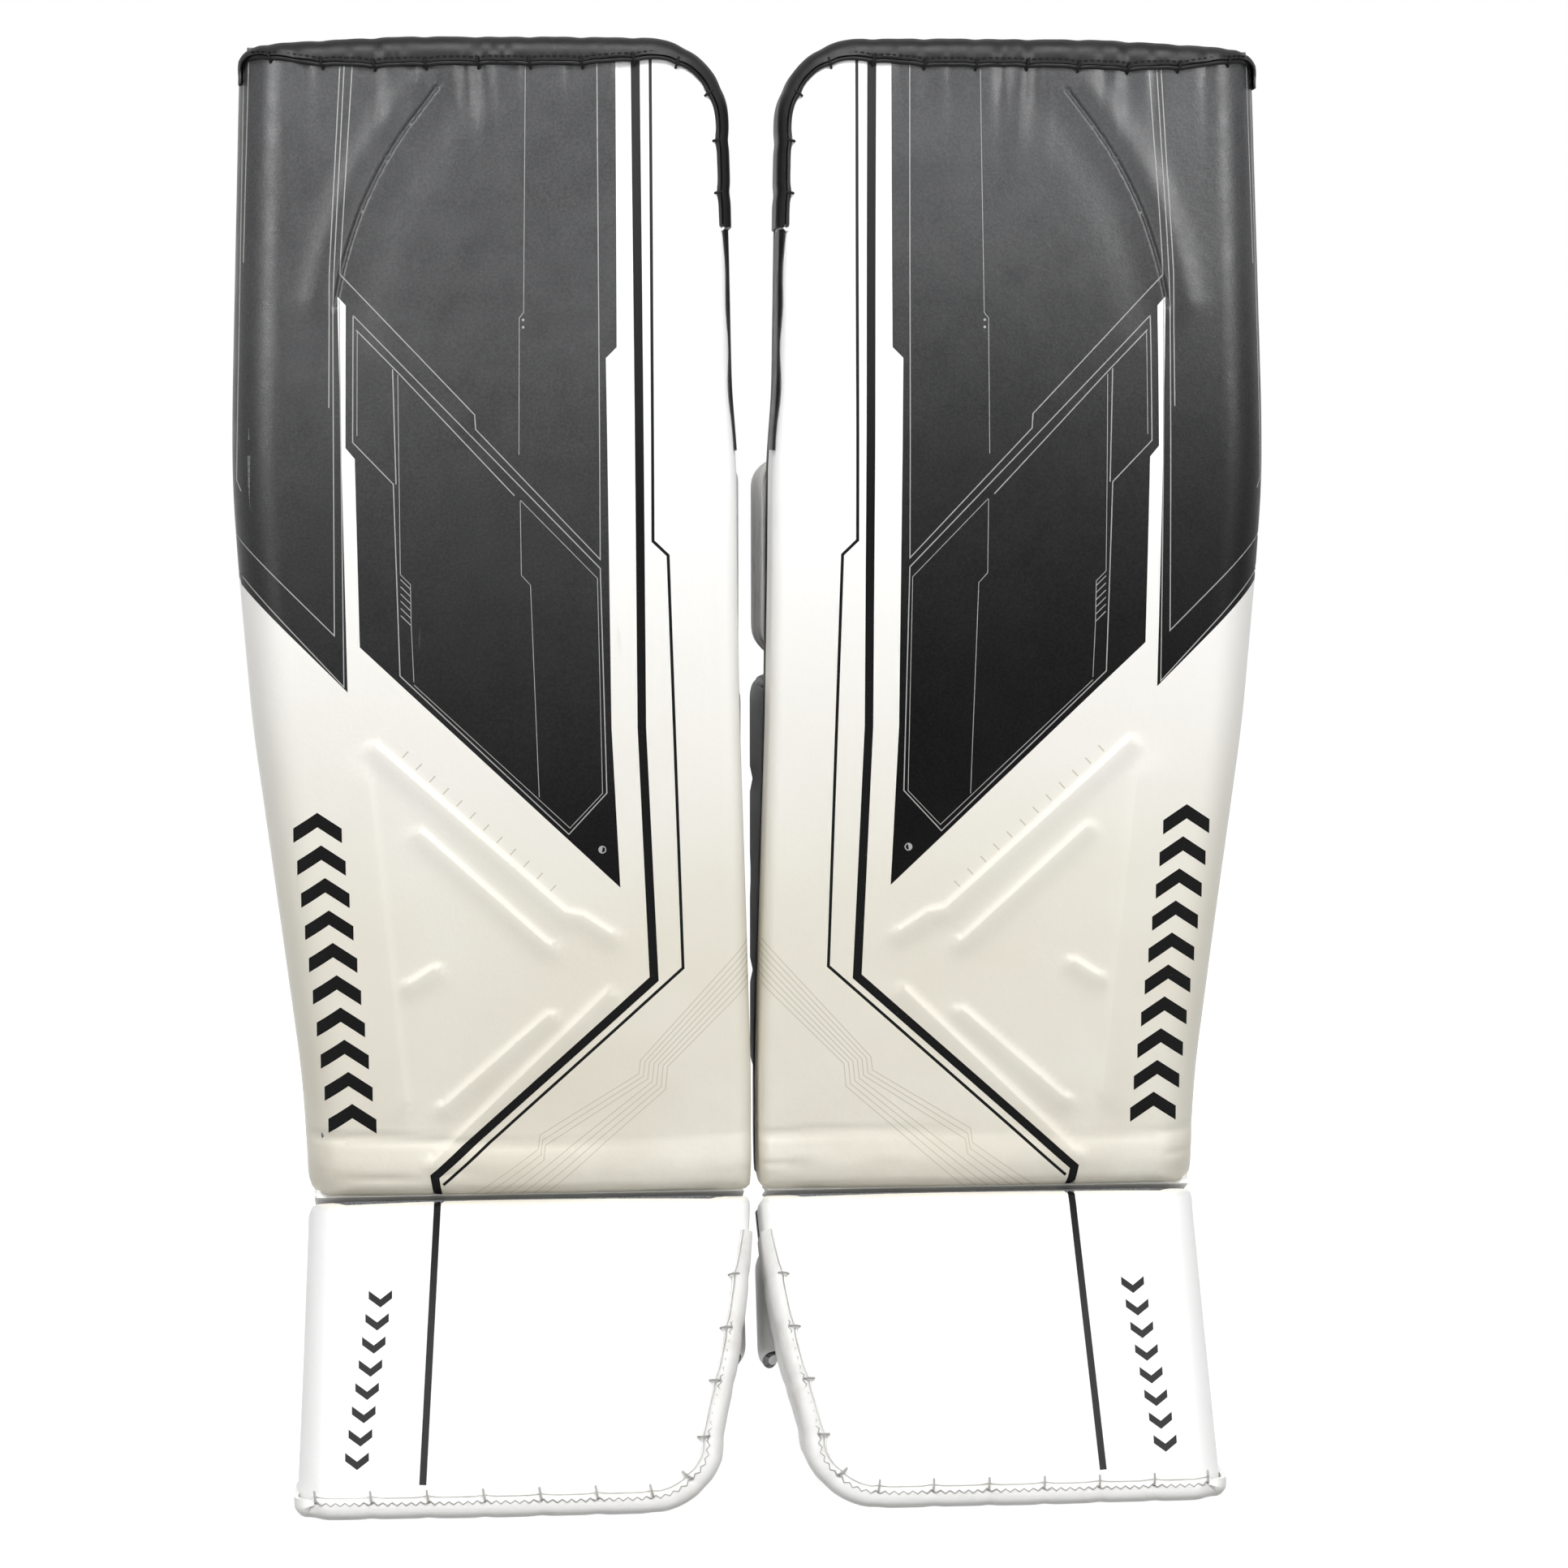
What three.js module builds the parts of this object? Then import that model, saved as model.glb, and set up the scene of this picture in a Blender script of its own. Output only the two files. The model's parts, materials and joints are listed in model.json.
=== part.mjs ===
// A pair of ice hockey goalie leg pads, in millimetres, +Z up, standing as they are worn.
// x = 0 is midway between the pads, with the wearer's left on +X. The faces look along -Y,
// y = 0 is the middle of the shin core's thickness, and z = 0 is the ice under the boots.
// One pad is made on the +X side, and the other is its mirror image.
//
// Each pad has three padded sections: boot, shin and thigh rise. A section is modelled flat,
// as outlines in x (across) and v (along its face), stacked by depth d behind its face.

import * as THREE from 'three';

// ---- driving dimensions ----
const HEIGHT = 812; // ice to the top edge
const BOOT_BREAK = 168; // height of the crease between boot and shin
const KNEE_BREAK = 585; // height of the crease between shin and thigh rise
const KICK = 25; // degrees that the boot kicks forward of the shin
const LEAN = 3; // degrees that the thigh rise leans back
const CORE = 45; // whole thickness of a section, face to back liner
const SKIN = 2.5; // thickness of the covers and of the back liners
const GAP = 0.3; // clearance between pieces that touch
const FOAM_GAP = 0.9; // clearance of the foams inside a cover, and of the bindings round it
const SHEET = 2; // thickness of the stiffener sheets
const BINDING = 3; // how far the bindings sewn round the edges stand out
const EDGE_ROUND = 20; // how far the rounded edge of a face reaches in from the side
const STRAP = 3; // thickness of the webbing straps

// ---- dimensions that follow ----
const tan = (degrees) => Math.tan(THREE.MathUtils.degToRad(degrees));
const cos = (degrees) => Math.cos(THREE.MathUtils.degToRad(degrees));
const FACE_Y = -CORE / 2;
const BOOT_LENGTH = BOOT_BREAK / cos(KICK);
const SHIN_LENGTH = KNEE_BREAK - BOOT_BREAK;
const THIGH_LENGTH = (HEIGHT - KNEE_BREAK) / cos(LEAN);
const BACK = CORE + GAP; // depth at which the pieces on the back of a section start
const KNEE_RELIEF = 14; // degrees cut from the thigh rise's lower end, so that it can flex back

// ---- colours ----
const finish = (color, roughness) => new THREE.MeshStandardMaterial({ color, roughness });
const WHITE_SKIN = finish(0xe9e8e3, 0.5);
const BINDING_BLACK = finish(0x1c1c1f, 0.55);
const BINDING_WHITE = finish(0xe4e3dd, 0.55);
const FOAM = finish(0x55585c, 0.95);
const SHEET_PLASTIC = finish(0xd9dbdc, 0.4);
const LINER = finish(0x26272a, 0.95);
const WING_GREY = finish(0x8b8e91, 0.8);
const WEBBING = finish(0x17171a, 0.85);

// ---- helpers ----
const at = (x, v) => new THREE.Vector2(x, v);

// Points on an arc round (x, v), from one angle to another in degrees.
function arc(x, v, radius, from, to, steps = 6) {
  return Array.from({ length: steps + 1 }, (_, i) => {
    const angle = THREE.MathUtils.degToRad(from + ((to - from) * i) / steps);
    return at(x + radius * Math.cos(angle), v + radius * Math.sin(angle));
  });
}

// A rectangle with rounded corners, as a closed anticlockwise outline.
function roundedBox(x0, x1, v0, v1, radius) {
  return [
    ...arc(x0 + radius, v0 + radius, radius, 180, 270, 3),
    ...arc(x1 - radius, v0 + radius, radius, 270, 360, 3),
    ...arc(x1 - radius, v1 - radius, radius, 0, 90, 3),
    ...arc(x0 + radius, v1 - radius, radius, 90, 180, 3),
  ];
}

// For each point of a path, the step to the left that moves both its edges left by 1.
function leftSteps(points, closed) {
  const last = points.length - 1;
  return points.map((point, i) => {
    const before = points[i - 1] ?? (closed ? points[last] : point);
    const after = points[i + 1] ?? (closed ? points[0] : point);
    const into = point.clone().sub(before).normalize();
    const out = after.clone().sub(point).normalize();
    if (into.lengthSq() === 0) into.copy(out);
    if (out.lengthSq() === 0) out.copy(into);
    const left = at(-(into.y + out.y), into.x + out.x).normalize();
    return left.divideScalar(left.dot(at(-into.y, into.x)));
  });
}

// One closed body through rings of equal length, with a flat cap on the first and last ring.
// Rings run anticlockwise as seen from the front, and start at the front.
function loft(rings) {
  const count = rings[0].length;
  const cap = THREE.ShapeUtils.triangulateShape(rings[0].map((p) => at(p.x, p.z)), []);
  const lastCap = THREE.ShapeUtils.triangulateShape(rings.at(-1).map((p) => at(p.x, p.z)), []);
  const lastRing = (rings.length - 1) * count;
  const faces = cap.map(([a, b, c]) => [a, b, c]);
  faces.push(...lastCap.map(([a, b, c]) => [lastRing + a, lastRing + c, lastRing + b]));
  for (let k = 0; k < lastRing; k += count) {
    for (let i = 0; i < count; i += 1) {
      const j = (i + 1) % count;
      faces.push([k + i, k + count + i, k + j]);
      faces.push([k + j, k + count + i, k + count + j]);
    }
  }
  const geometry = new THREE.BufferGeometry();
  const places = rings.flat().flatMap((p) => [p.x, p.y, p.z]);
  geometry.setAttribute('position', new THREE.Float32BufferAttribute(places, 3));
  geometry.setIndex(faces.flat());
  return geometry;
}

// ---- the three sections ----
// `breaks` are the v of the ends that meet another section, and stay square. `rise(v)` is how
// far a point at v moves up for each millimetre of depth, where an end isn't square to the face.
const clamp01 = (value) => THREE.MathUtils.clamp(value, 0, 1);

const THIGH = {
  outline: [
    at(12.9, GAP),
    at(289, GAP),
    at(282.5, 203),
    at(281, THIGH_LENGTH - BINDING),
    ...arc(57, THIGH_LENGTH - BINDING - 41, 41, 90, 180),
  ],
  breaks: [GAP],
  rise: (v) => tan(KNEE_RELIEF) * clamp01(1 - v / 60),
};

const SHIN = {
  outline: [
    at(2, 0),
    at(252, 0),
    at(255, 60),
    at(266, 150),
    at(280, 262),
    at(286, 342),
    at(289, 396),
    at(289, SHIN_LENGTH),
    at(9.6, SHIN_LENGTH),
    at(9.5, 351),
    at(8, 262),
    at(4.5, 150),
    at(2, 60),
  ],
  breaks: [0, SHIN_LENGTH],
  rise: () => 0,
};

const BOOT = {
  outline: [
    at(2.5, -GAP),
    at(5.4, -36),
    at(9.9, -73),
    at(16.4, -109),
    at(25, -138),
    ...arc(64, 41 + BINDING - BOOT_LENGTH, 41, 195, 270),
    at(258.5, BINDING - BOOT_LENGTH),
    at(252, -GAP),
  ],
  breaks: [-GAP],
  rise: (v) => tan(KICK) * clamp01((-90 - v) / (BOOT_LENGTH - 93)),
};

// The ring of a section at a depth: the outline drawn in by `inset`, and by `wall` at a break.
function ring(section, depth, inset, wall) {
  const steps = leftSteps(section.outline, true);
  return section.outline.map((point, i) => {
    const atBreak = section.breaks.some((v) => Math.abs(v - point.y) < 0.01);
    const x = point.x + steps[i].x * inset;
    const v = point.y + steps[i].y * (atBreak ? wall : inset);
    return new THREE.Vector3(x, depth, v + depth * section.rise(point.y));
  });
}

// The rounded front of a section, drawn in by `clear` all round: rings of [depth, inset].
const roundedFront = (clear) => [
  [clear, EDGE_ROUND + 0.5 * clear],
  [0.3 * EDGE_ROUND + 0.6 * clear, 0.3 * EDGE_ROUND + clear],
  [EDGE_ROUND, clear],
];

// A cover: a tray that wraps the face and the sides, open at the back.
function cover(section) {
  const rim = CORE - SKIN - GAP;
  const outside = [...roundedFront(0), [rim, 0]].map(([d, inset]) => ring(section, d, inset, 0));
  const inside = [[rim, SKIN], ...roundedFront(SKIN).reverse()];
  return loft([...outside, ...inside.map(([d, inset]) => ring(section, d, inset, SKIN))]);
}

// The foam behind the face, down to a depth.
function frontFoam(section, depth) {
  const clear = SKIN + FOAM_GAP;
  const rings = [...roundedFront(clear), [depth, clear]];
  return loft(rings.map(([d, inset]) => ring(section, d, inset, clear)));
}

// A layer inside a cover, between two depths.
function layer(section, from, to) {
  const clear = SKIN + FOAM_GAP;
  return loft([ring(section, from, clear, clear), ring(section, to, clear, clear)]);
}

// The liner that closes the back of a section.
function backLiner(section) {
  return loft([ring(section, CORE - SKIN, 0, 0), ring(section, CORE, 0, 0)]);
}

// A binding: a strip wrapped over the edge of a cover, from one outline point to another.
function binding(section, first, last) {
  const edge = (depth, out) => ring(section, depth, -out, 0).slice(first, last + 1);
  return loft([5, CORE].map((depth) => [...edge(depth, BINDING), ...edge(depth, FOAM_GAP).reverse()]));
}

// A cushion on the back of a section, with its front and back edges rounded by `round`.
function cushion(outline, from, to, round) {
  const steps = leftSteps(outline, true);
  const rings = [[from, round], [from + round, 0], [to - round, 0], [to, round]];
  const points = ([depth, inset]) =>
    outline.map((p, i) => new THREE.Vector3(p.x + steps[i].x * inset, depth, p.y + steps[i].y * inset));
  return loft(rings.map(points));
}

// A band on edge: a curve in plan, through [x, depth] points, with a thickness, between two v.
function band(points, thickness, v0, v1, divisions = 12) {
  const path = new THREE.SplineCurve(points.map(([x, d]) => at(x, d))).getPoints(divisions);
  const steps = leftSteps(path, false);
  const side = (offset) => path.map((p, i) => p.clone().addScaledVector(steps[i], offset));
  const outline = [...side(-thickness / 2), ...side(thickness / 2).reverse()];
  const geometry = new THREE.ExtrudeGeometry(new THREE.Shape(outline), {
    depth: v1 - v0,
    bevelEnabled: false,
    steps: 1,
  });
  return geometry.translate(0, 0, v0);
}

// ---- one pad ----
function pad(side) {
  const group = new THREE.Group();

  const section = (z, tilt) => {
    const part = new THREE.Group();
    part.position.set(0, FACE_Y, z);
    part.rotation.x = -THREE.MathUtils.degToRad(tilt);
    group.add(part);
    return part;
  };
  const thigh = section(KNEE_BREAK, LEAN);
  const shin = section(BOOT_BREAK, 0);
  const boot = section(BOOT_BREAK, KICK);

  const add = (parent, name, geometry, material) => {
    const mesh = new THREE.Mesh(geometry, material);
    mesh.name = `${side}_${name}`;
    parent.add(mesh);
  };

  // thigh rise: face cover, one thick foam, a stiffener sheet and the back liner
  const thighSheet = CORE - SKIN - GAP - SHEET;
  add(thigh, 'thigh_cover', cover(THIGH), WHITE_SKIN);
  add(thigh, 'thigh_foam', frontFoam(THIGH, thighSheet - GAP), FOAM);
  add(thigh, 'thigh_stiffener', layer(THIGH, thighSheet, thighSheet + SHEET - GAP), SHEET_PLASTIC);
  add(thigh, 'thigh_back_liner', backLiner(THIGH), LINER);
  const innerCornerEnd = THIGH.outline.length - 1;
  add(thigh, 'top_binding', binding(THIGH, 3, innerCornerEnd), BINDING_BLACK);

  // shin: face cover, dense front foam, stiffener sheet, soft rear foam and the back liner
  const shinSheet = 21;
  add(shin, 'shin_cover', cover(SHIN), WHITE_SKIN);
  add(shin, 'shin_front_foam', frontFoam(SHIN, shinSheet - GAP), FOAM);
  add(shin, 'shin_stiffener', layer(SHIN, shinSheet, shinSheet + SHEET), SHEET_PLASTIC);
  add(shin, 'shin_rear_foam', layer(SHIN, shinSheet + SHEET + GAP, CORE - SKIN - GAP), FOAM);
  add(shin, 'shin_back_liner', backLiner(SHIN), LINER);

  // what the leg rests against
  const legCradle = roundedBox(96, 204, 28, 262, 18);
  const kneeCradle = roundedBox(98, 208, 296, 408, 18);
  add(shin, 'leg_cradle', cushion(legCradle, BACK, BACK + 14, 4), LINER);
  add(shin, 'knee_cradle', cushion(kneeCradle, BACK, BACK + 12, 4), LINER);

  // the knee stack on the inner side, which lands on the ice, and the wing opposite it
  const kneeBase = roundedBox(4, 90, 298, 412, 14);
  const kneeMiddle = roundedBox(3, 88, 294, 412, 16);
  const kneeOuter = roundedBox(2.5, 84, 290, 412, 20);
  add(shin, 'knee_block_base', cushion(kneeBase, BACK, BACK + 22, 4), WHITE_SKIN);
  add(shin, 'knee_block_middle', cushion(kneeMiddle, BACK + 22.3, BACK + 44, 5), WHITE_SKIN);
  add(shin, 'knee_block_outer', cushion(kneeOuter, BACK + 44.3, BACK + 64, 7), WHITE_SKIN);
  const kneeWing = [[226, 51], [234, 72], [238, 104], [228, 134]];
  const kneeStrap = [[228, 145], [200, 150], [130, 150], [60, 146], [14, 134]];
  add(shin, 'outer_knee_wing', band(kneeWing, 11, 300, 406), WHITE_SKIN);
  add(shin, 'knee_strap', band(kneeStrap, STRAP, 340, 382), WEBBING);

  // the calf wings and the straps that close them round the leg
  const innerWing = [[26, 50], [12, 56], [8, 90], [14, 126], [30, 146]];
  const outerWing = [[216, 51], [226, 66], [228, 104], [216, 136], [198, 148]];
  const calfStrap = [[202, 158], [150, 163], [80, 162], [24, 153]];
  add(shin, 'inner_calf_wing', band(innerWing, 10, 52, 278), WING_GREY);
  add(shin, 'outer_calf_wing', band(outerWing, 10, 52, 278), WING_GREY);
  add(shin, 'upper_calf_strap', band(calfStrap, STRAP, 222, 260), WEBBING);
  add(shin, 'lower_calf_strap', band(calfStrap, STRAP, 82, 120), WEBBING);

  // boot: face cover, foam and back liner, with a binding round the toe and up the inner side
  add(boot, 'boot_cover', cover(BOOT), WHITE_SKIN);
  add(boot, 'boot_foam', frontFoam(BOOT, CORE - SKIN - GAP), FOAM);
  add(boot, 'boot_back_liner', backLiner(BOOT), LINER);
  add(boot, 'boot_binding', binding(BOOT, 1, BOOT.outline.length - 2), BINDING_WHITE);

  // what holds the skate: a wing on each side with a strap across, and the toe's bridge and loop
  const innerBootWing = [[22, 50], [10, 60], [9, 92], [18, 118]];
  const outerBootWing = [[216, 50], [226, 64], [227, 92], [218, 118]];
  const ankleStrap = [[218, 128], [150, 136], [80, 135], [28, 127]];
  add(boot, 'inner_boot_wing', band(innerBootWing, 9, -84, -24), WING_GREY);
  add(boot, 'outer_boot_wing', band(outerBootWing, 9, -112, -24), WING_GREY);
  add(boot, 'ankle_strap', band(ankleStrap, STRAP, -74, -40), WEBBING);
  const toeBridge = roundedBox(84, 176, -150, -118, 8);
  add(boot, 'toe_bridge', cushion(toeBridge, BACK, BACK + 18, 4), WING_GREY);

  // the toe loop lies level, behind the bridge
  const toeLoop = new THREE.Group();
  toeLoop.position.set(0, BACK + 27, -134);
  toeLoop.rotation.x = THREE.MathUtils.degToRad(KICK);
  boot.add(toeLoop);
  const toeStrap = [[94, 0], [94, 45], [106, 66], [130, 74], [154, 66], [166, 45], [166, 0]];
  add(toeLoop, 'toe_strap', band(toeStrap, STRAP, -8, 8, 18), WEBBING);

  return group;
}

const pads = new THREE.Group();
pads.add(pad('left'));
const mirrored = new THREE.Group();
mirrored.scale.x = -1;
mirrored.add(pad('right'));
pads.add(mirrored);

export default pads;
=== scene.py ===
"""A pair of goalie leg pads: printed skins, bindings, knee stacks, wings, straps and liners.

One pad is worked out in its own millimetres: x is the distance from the plane between the pads,
s the distance up the face from the boot break (negative on the boot) and d the depth behind the
face. The meshes are in metres in the frame's axes, and the right pad is the left one mirrored.
"""
import json
import math
import bmesh
import bpy
import numpy as np
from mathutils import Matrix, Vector
from mathutils.geometry import delaunay_2d_cdt


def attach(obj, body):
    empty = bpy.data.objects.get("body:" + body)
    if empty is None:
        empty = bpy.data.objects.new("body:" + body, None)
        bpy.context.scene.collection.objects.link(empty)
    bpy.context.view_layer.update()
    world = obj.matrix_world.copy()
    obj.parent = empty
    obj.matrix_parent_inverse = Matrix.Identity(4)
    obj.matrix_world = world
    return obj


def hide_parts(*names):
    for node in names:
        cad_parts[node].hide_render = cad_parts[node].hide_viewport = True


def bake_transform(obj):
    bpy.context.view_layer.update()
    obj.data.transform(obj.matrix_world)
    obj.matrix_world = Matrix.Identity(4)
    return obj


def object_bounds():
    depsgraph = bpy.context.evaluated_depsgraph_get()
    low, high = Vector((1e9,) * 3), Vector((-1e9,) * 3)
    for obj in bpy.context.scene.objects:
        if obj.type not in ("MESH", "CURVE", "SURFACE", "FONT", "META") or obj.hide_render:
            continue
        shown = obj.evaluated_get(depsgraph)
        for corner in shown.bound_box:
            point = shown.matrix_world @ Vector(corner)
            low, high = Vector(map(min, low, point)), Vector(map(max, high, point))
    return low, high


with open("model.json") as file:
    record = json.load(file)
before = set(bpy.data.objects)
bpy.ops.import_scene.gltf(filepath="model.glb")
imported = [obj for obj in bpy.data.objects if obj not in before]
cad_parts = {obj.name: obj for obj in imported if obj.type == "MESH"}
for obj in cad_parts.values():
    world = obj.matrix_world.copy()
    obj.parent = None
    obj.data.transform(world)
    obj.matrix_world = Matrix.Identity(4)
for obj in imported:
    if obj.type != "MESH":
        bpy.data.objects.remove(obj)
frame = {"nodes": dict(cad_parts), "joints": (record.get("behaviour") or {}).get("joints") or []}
cad_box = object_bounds()

# ---- the pad's measures, from the frame ----
MM = 0.001
SIDES = {"left": 1, "right": -1}
JOINTS = {joint["name"]: joint for joint in frame["joints"]}
FACE_Y, BREAK_Z = [value / MM for value in JOINTS["left_boot_flex"]["pos_m"][1:]]
KNEE_Z = JOINTS["left_thigh_flex"]["pos_m"][2] / MM
TOP_Z = cad_box[1][2] / MM
KICK = math.radians(25)  # how far the boot leans forward of the shin
LEAN = math.radians(3)  # how far the thigh rise leans back
SHIN = KNEE_Z - BREAK_Z
TOP = SHIN + (TOP_Z - KNEE_Z) / math.cos(LEAN)
BOOT = BREAK_Z / math.cos(KICK)
LIP = 2.6  # how far the shin's padded end hangs below the boot break
BOOT_TOP = -LIP - 0.6
BEND = 30  # half the length over which the knee bends
RIM = 42.5  # depth at which a skin turns in at the back
EDGE = 3.3  # room for a binding's thickness beyond a skin's edge


# ---- from pad millimetres to the frame ----
def on_leg(x, s, d):
    """A point of the shin or thigh rise. The face bends back by LEAN within BEND of the knee."""
    x, s, d = np.broadcast_arrays(*[np.asarray(a, float) for a in (x, s, d)])
    turn = np.clip((s - SHIN + BEND) / (2 * BEND), 0, 1) * LEAN
    radius = 2 * BEND / LEAN
    past = np.maximum(s - SHIN - BEND, 0)
    back = radius * (1 - np.cos(turn)) + past * math.sin(LEAN)
    up = np.minimum(s, SHIN - BEND) + radius * np.sin(turn) + past * math.cos(LEAN)
    return np.stack([x, FACE_Y + back + d * np.cos(turn), BREAK_Z + up - d * np.sin(turn)], -1)


def on_boot(x, s, d):
    """A point of the boot, which kicks forward and whose toe end is cut level with the ice."""
    x, s, d = np.broadcast_arrays(*[np.asarray(a, float) for a in (x, s, d)])
    s = s + d * math.tan(KICK) * np.clip((-90 - s) / (BOOT - 93), 0, 1)
    y = FACE_Y + d * math.cos(KICK) + s * math.sin(KICK)
    return np.stack([x, y, BREAK_Z - d * math.sin(KICK) + s * math.cos(KICK)], -1)


def to_frame(points, side):
    """Pad millimetres as frame metres, mirrored for the right pad."""
    return np.asarray(points, float) * MM * (SIDES[side], 1, 1)


# ---- curves and outlines ----
def eased(at, xs, ys, reach=18):
    """ys over xs at the places `at`, with the corners softened over `reach`."""
    return np.mean([np.interp(at + shift, xs, ys) for shift in np.linspace(-reach, reach, 9)], axis=0)


def inner_edge(s):
    """How far the face's inner edge is from the plane between the pads, at height s."""
    return eased(s, [-140, -109, -73, -36, 0, 60, 150, 262, 351, 417, 440, 600],
                 [25, 16.4, 9.9, 5.4, 2.3, 2, 4.5, 8, 9.5, 10, 12.9, 15.8])


def outer_edge(s):
    """How far the face's outer edge is from the plane between the pads, at height s."""
    return eased(s, [-180, 0, 60, 150, 262, 342, 396, 440, 620, 650],
                 [258, 252, 255, 266, 280, 286, 289, 288.5, 282.5, 281])


def top_edge(x):
    """The thigh rise's top edge, which falls a little towards its outer corner."""
    return TOP - EDGE - 6 * np.clip((np.asarray(x, float) - 150) / 132, 0, 1) ** 2.2


def arc(x, s, radius, start, end, steps=12):
    """Points on an arc about (x, s), between two angles in degrees."""
    angles = np.radians(np.linspace(start, end, steps + 1))
    return np.stack([x + radius * np.cos(angles), s + radius * np.sin(angles)], 1)


def looped(path):
    """A closed path with its first point again at its end."""
    return np.vstack([path, path[:1]])


def at_depth(path, d):
    """A plane path's points (x, s) as points (x, s, d)."""
    return np.column_stack([path, np.broadcast_to(d, len(path))])


def edge_length(path):
    """How far along the path each of its points is."""
    return np.concatenate([[0], np.cumsum(np.linalg.norm(np.diff(path, axis=0), axis=1))])


def along(at, run, path):
    """The path's points at the distances `at` along it, given each point's own distance."""
    return np.stack([np.interp(at, run, path[:, k]) for k in range(path.shape[1])], -1)


def resampled(path, spacing, closed=False):
    """The path's points again, evenly spaced along it."""
    path = np.asarray(path, float)
    if closed:
        path = looped(path)
    run = edge_length(path)
    count = max(2, round(run[-1] / spacing) + 1)
    out = along(np.linspace(0, run[-1], count), run, path)
    return out[:-1] if closed else out


def smooth(points, count):
    """A smooth curve of `count` points through a few."""
    points = np.asarray(points, float)
    padded = np.vstack([2 * points[0] - points[1], points, 2 * points[-1] - points[-2]])
    out = []
    for at in np.linspace(0, len(points) - 1, count):
        k = min(int(at), len(points) - 2)
        t = at - k
        a, b, c, d = padded[k:k + 4]
        out.append(0.5 * (2 * b + (c - a) * t + (2 * a - 5 * b + 4 * c - d) * t * t
                          + (3 * b - a - 3 * c + d) * t ** 3))
    return resampled(out, edge_length(out)[-1] / (count - 1))


def left_of(path, closed=False):
    """The unit step to the left of a plane path at each of its points."""
    ahead = np.roll(path, -1, 0) - path
    behind = path - np.roll(path, 1, 0)
    if not closed:
        ahead[-1], behind[0] = behind[-1], ahead[0]
    ahead = ahead / np.linalg.norm(ahead, axis=1, keepdims=True)
    behind = behind / np.linalg.norm(behind, axis=1, keepdims=True)
    along = ahead + behind
    along /= np.linalg.norm(along, axis=1, keepdims=True)
    left = np.stack([-along[:, 1], along[:, 0]], 1)
    square = np.stack([-behind[:, 1], behind[:, 0]], 1)
    return left / np.maximum((left * square).sum(1, keepdims=True), 0.4)


def stroke(path, widths):
    """A printed line along a path, as a polygon. `widths` is one width, or one for each point."""
    path = np.asarray(path, float)
    half = np.broadcast_to(widths, len(path))[:, None] / 2
    left = left_of(path) * half
    return np.vstack([path + left, (path - left)[::-1]])


def distance(x, s, path):
    """The distance of each place (x, s) from a path."""
    path = np.asarray(path, float)
    best = np.full(np.shape(x), 1e9)
    for (ax, ay), (bx, by) in zip(path[:-1], path[1:]):
        dx, dy = bx - ax, by - ay
        t = np.clip(((x - ax) * dx + (s - ay) * dy) / (dx * dx + dy * dy), 0, 1)
        best = np.minimum(best, np.hypot(x - ax - t * dx, s - ay - t * dy))
    return best


def inside(x, s, polygon):
    """Whether each place (x, s) is inside a polygon."""
    hit = np.zeros(np.shape(x), bool)
    for (ax, ay), (bx, by) in zip(polygon, np.roll(polygon, -1, 0)):
        if ay != by:
            hit ^= ((ay > s) != (by > s)) & (x < (bx - ax) * (s - ay) / (by - ay) + ax)
    return hit


# ---- making objects ----
def new_object(name, side, points, faces, materials, picks=None, normals=None):
    """A smooth mesh object from pad millimetres. `picks` is each face's place in `materials`."""
    mesh = bpy.data.meshes.new(f"{side}_{name}")
    if SIDES[side] < 0:
        faces = [tuple(face[::-1]) for face in faces]
    mesh.from_pydata(to_frame(points, side).tolist(), [], [tuple(face) for face in faces])
    for material in materials:
        mesh.materials.append(material)
    if picks is not None:
        mesh.polygons.foreach_set("material_index", np.asarray(picks, np.int32))
    mesh.shade_smooth()
    if normals is None:
        shell = bmesh.new()
        shell.from_mesh(mesh)
        bmesh.ops.recalc_face_normals(shell, faces=shell.faces)
        shell.to_mesh(mesh)
        shell.free()
        mesh.set_sharp_from_angle(angle=math.radians(42))
    else:
        mesh.normals_split_custom_set_from_vertices((normals * (SIDES[side], 1, 1)).tolist())
    mesh.update()
    known = f"{side}_{name}" in frame["nodes"]
    obj = bpy.data.objects.new(f"{side}_{name}_finished" if known else f"{side}_{name}", mesh)
    bpy.context.collection.objects.link(obj)
    return obj


def finish_piece(obj, side, body, nodes=()):
    """The piece rides on a body and hides the CAD nodes that it stands for.

    A piece of the "leg" rides on no body: its place is baked into its mesh.
    """
    if body == "leg":
        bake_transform(obj)
    else:
        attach(obj, f"{side}_{body}")
    if nodes:
        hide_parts(*[f"{side}_{node}" for node in nodes])
    return obj


class Shape:
    """Closed bodies gathered in pad coordinates (x, s, d), each with a material pick."""

    def __init__(self):
        self.points, self.faces, self.picks = [], [], []

    def add(self, points, faces, pick=0):
        start = sum(len(p) for p in self.points)
        self.points.append(np.asarray(points, float))
        self.faces += [[start + i for i in face] for face in faces]
        self.picks += [pick] * len(faces)
        return self

    def make(self, name, side, place, *materials):
        placed = place(*np.vstack(self.points).T)
        return new_object(name, side, placed, self.faces, materials, self.picks)


def loft_faces(rows, count, joined_up=False):
    """Faces through rings of `count` points, capped unless the last ring joins the first."""
    faces = []
    total = rows * count
    for k in range(rows if joined_up else rows - 1):
        a, b = k * count, (k + 1) * count % total
        for i in range(count):
            j = (i + 1) % count
            faces.append([a + i, b + i, b + j, a + j])
    if not joined_up:
        faces.append(list(range(count)))
        faces.append(list(range(total - count, total))[::-1])
    return faces


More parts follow.
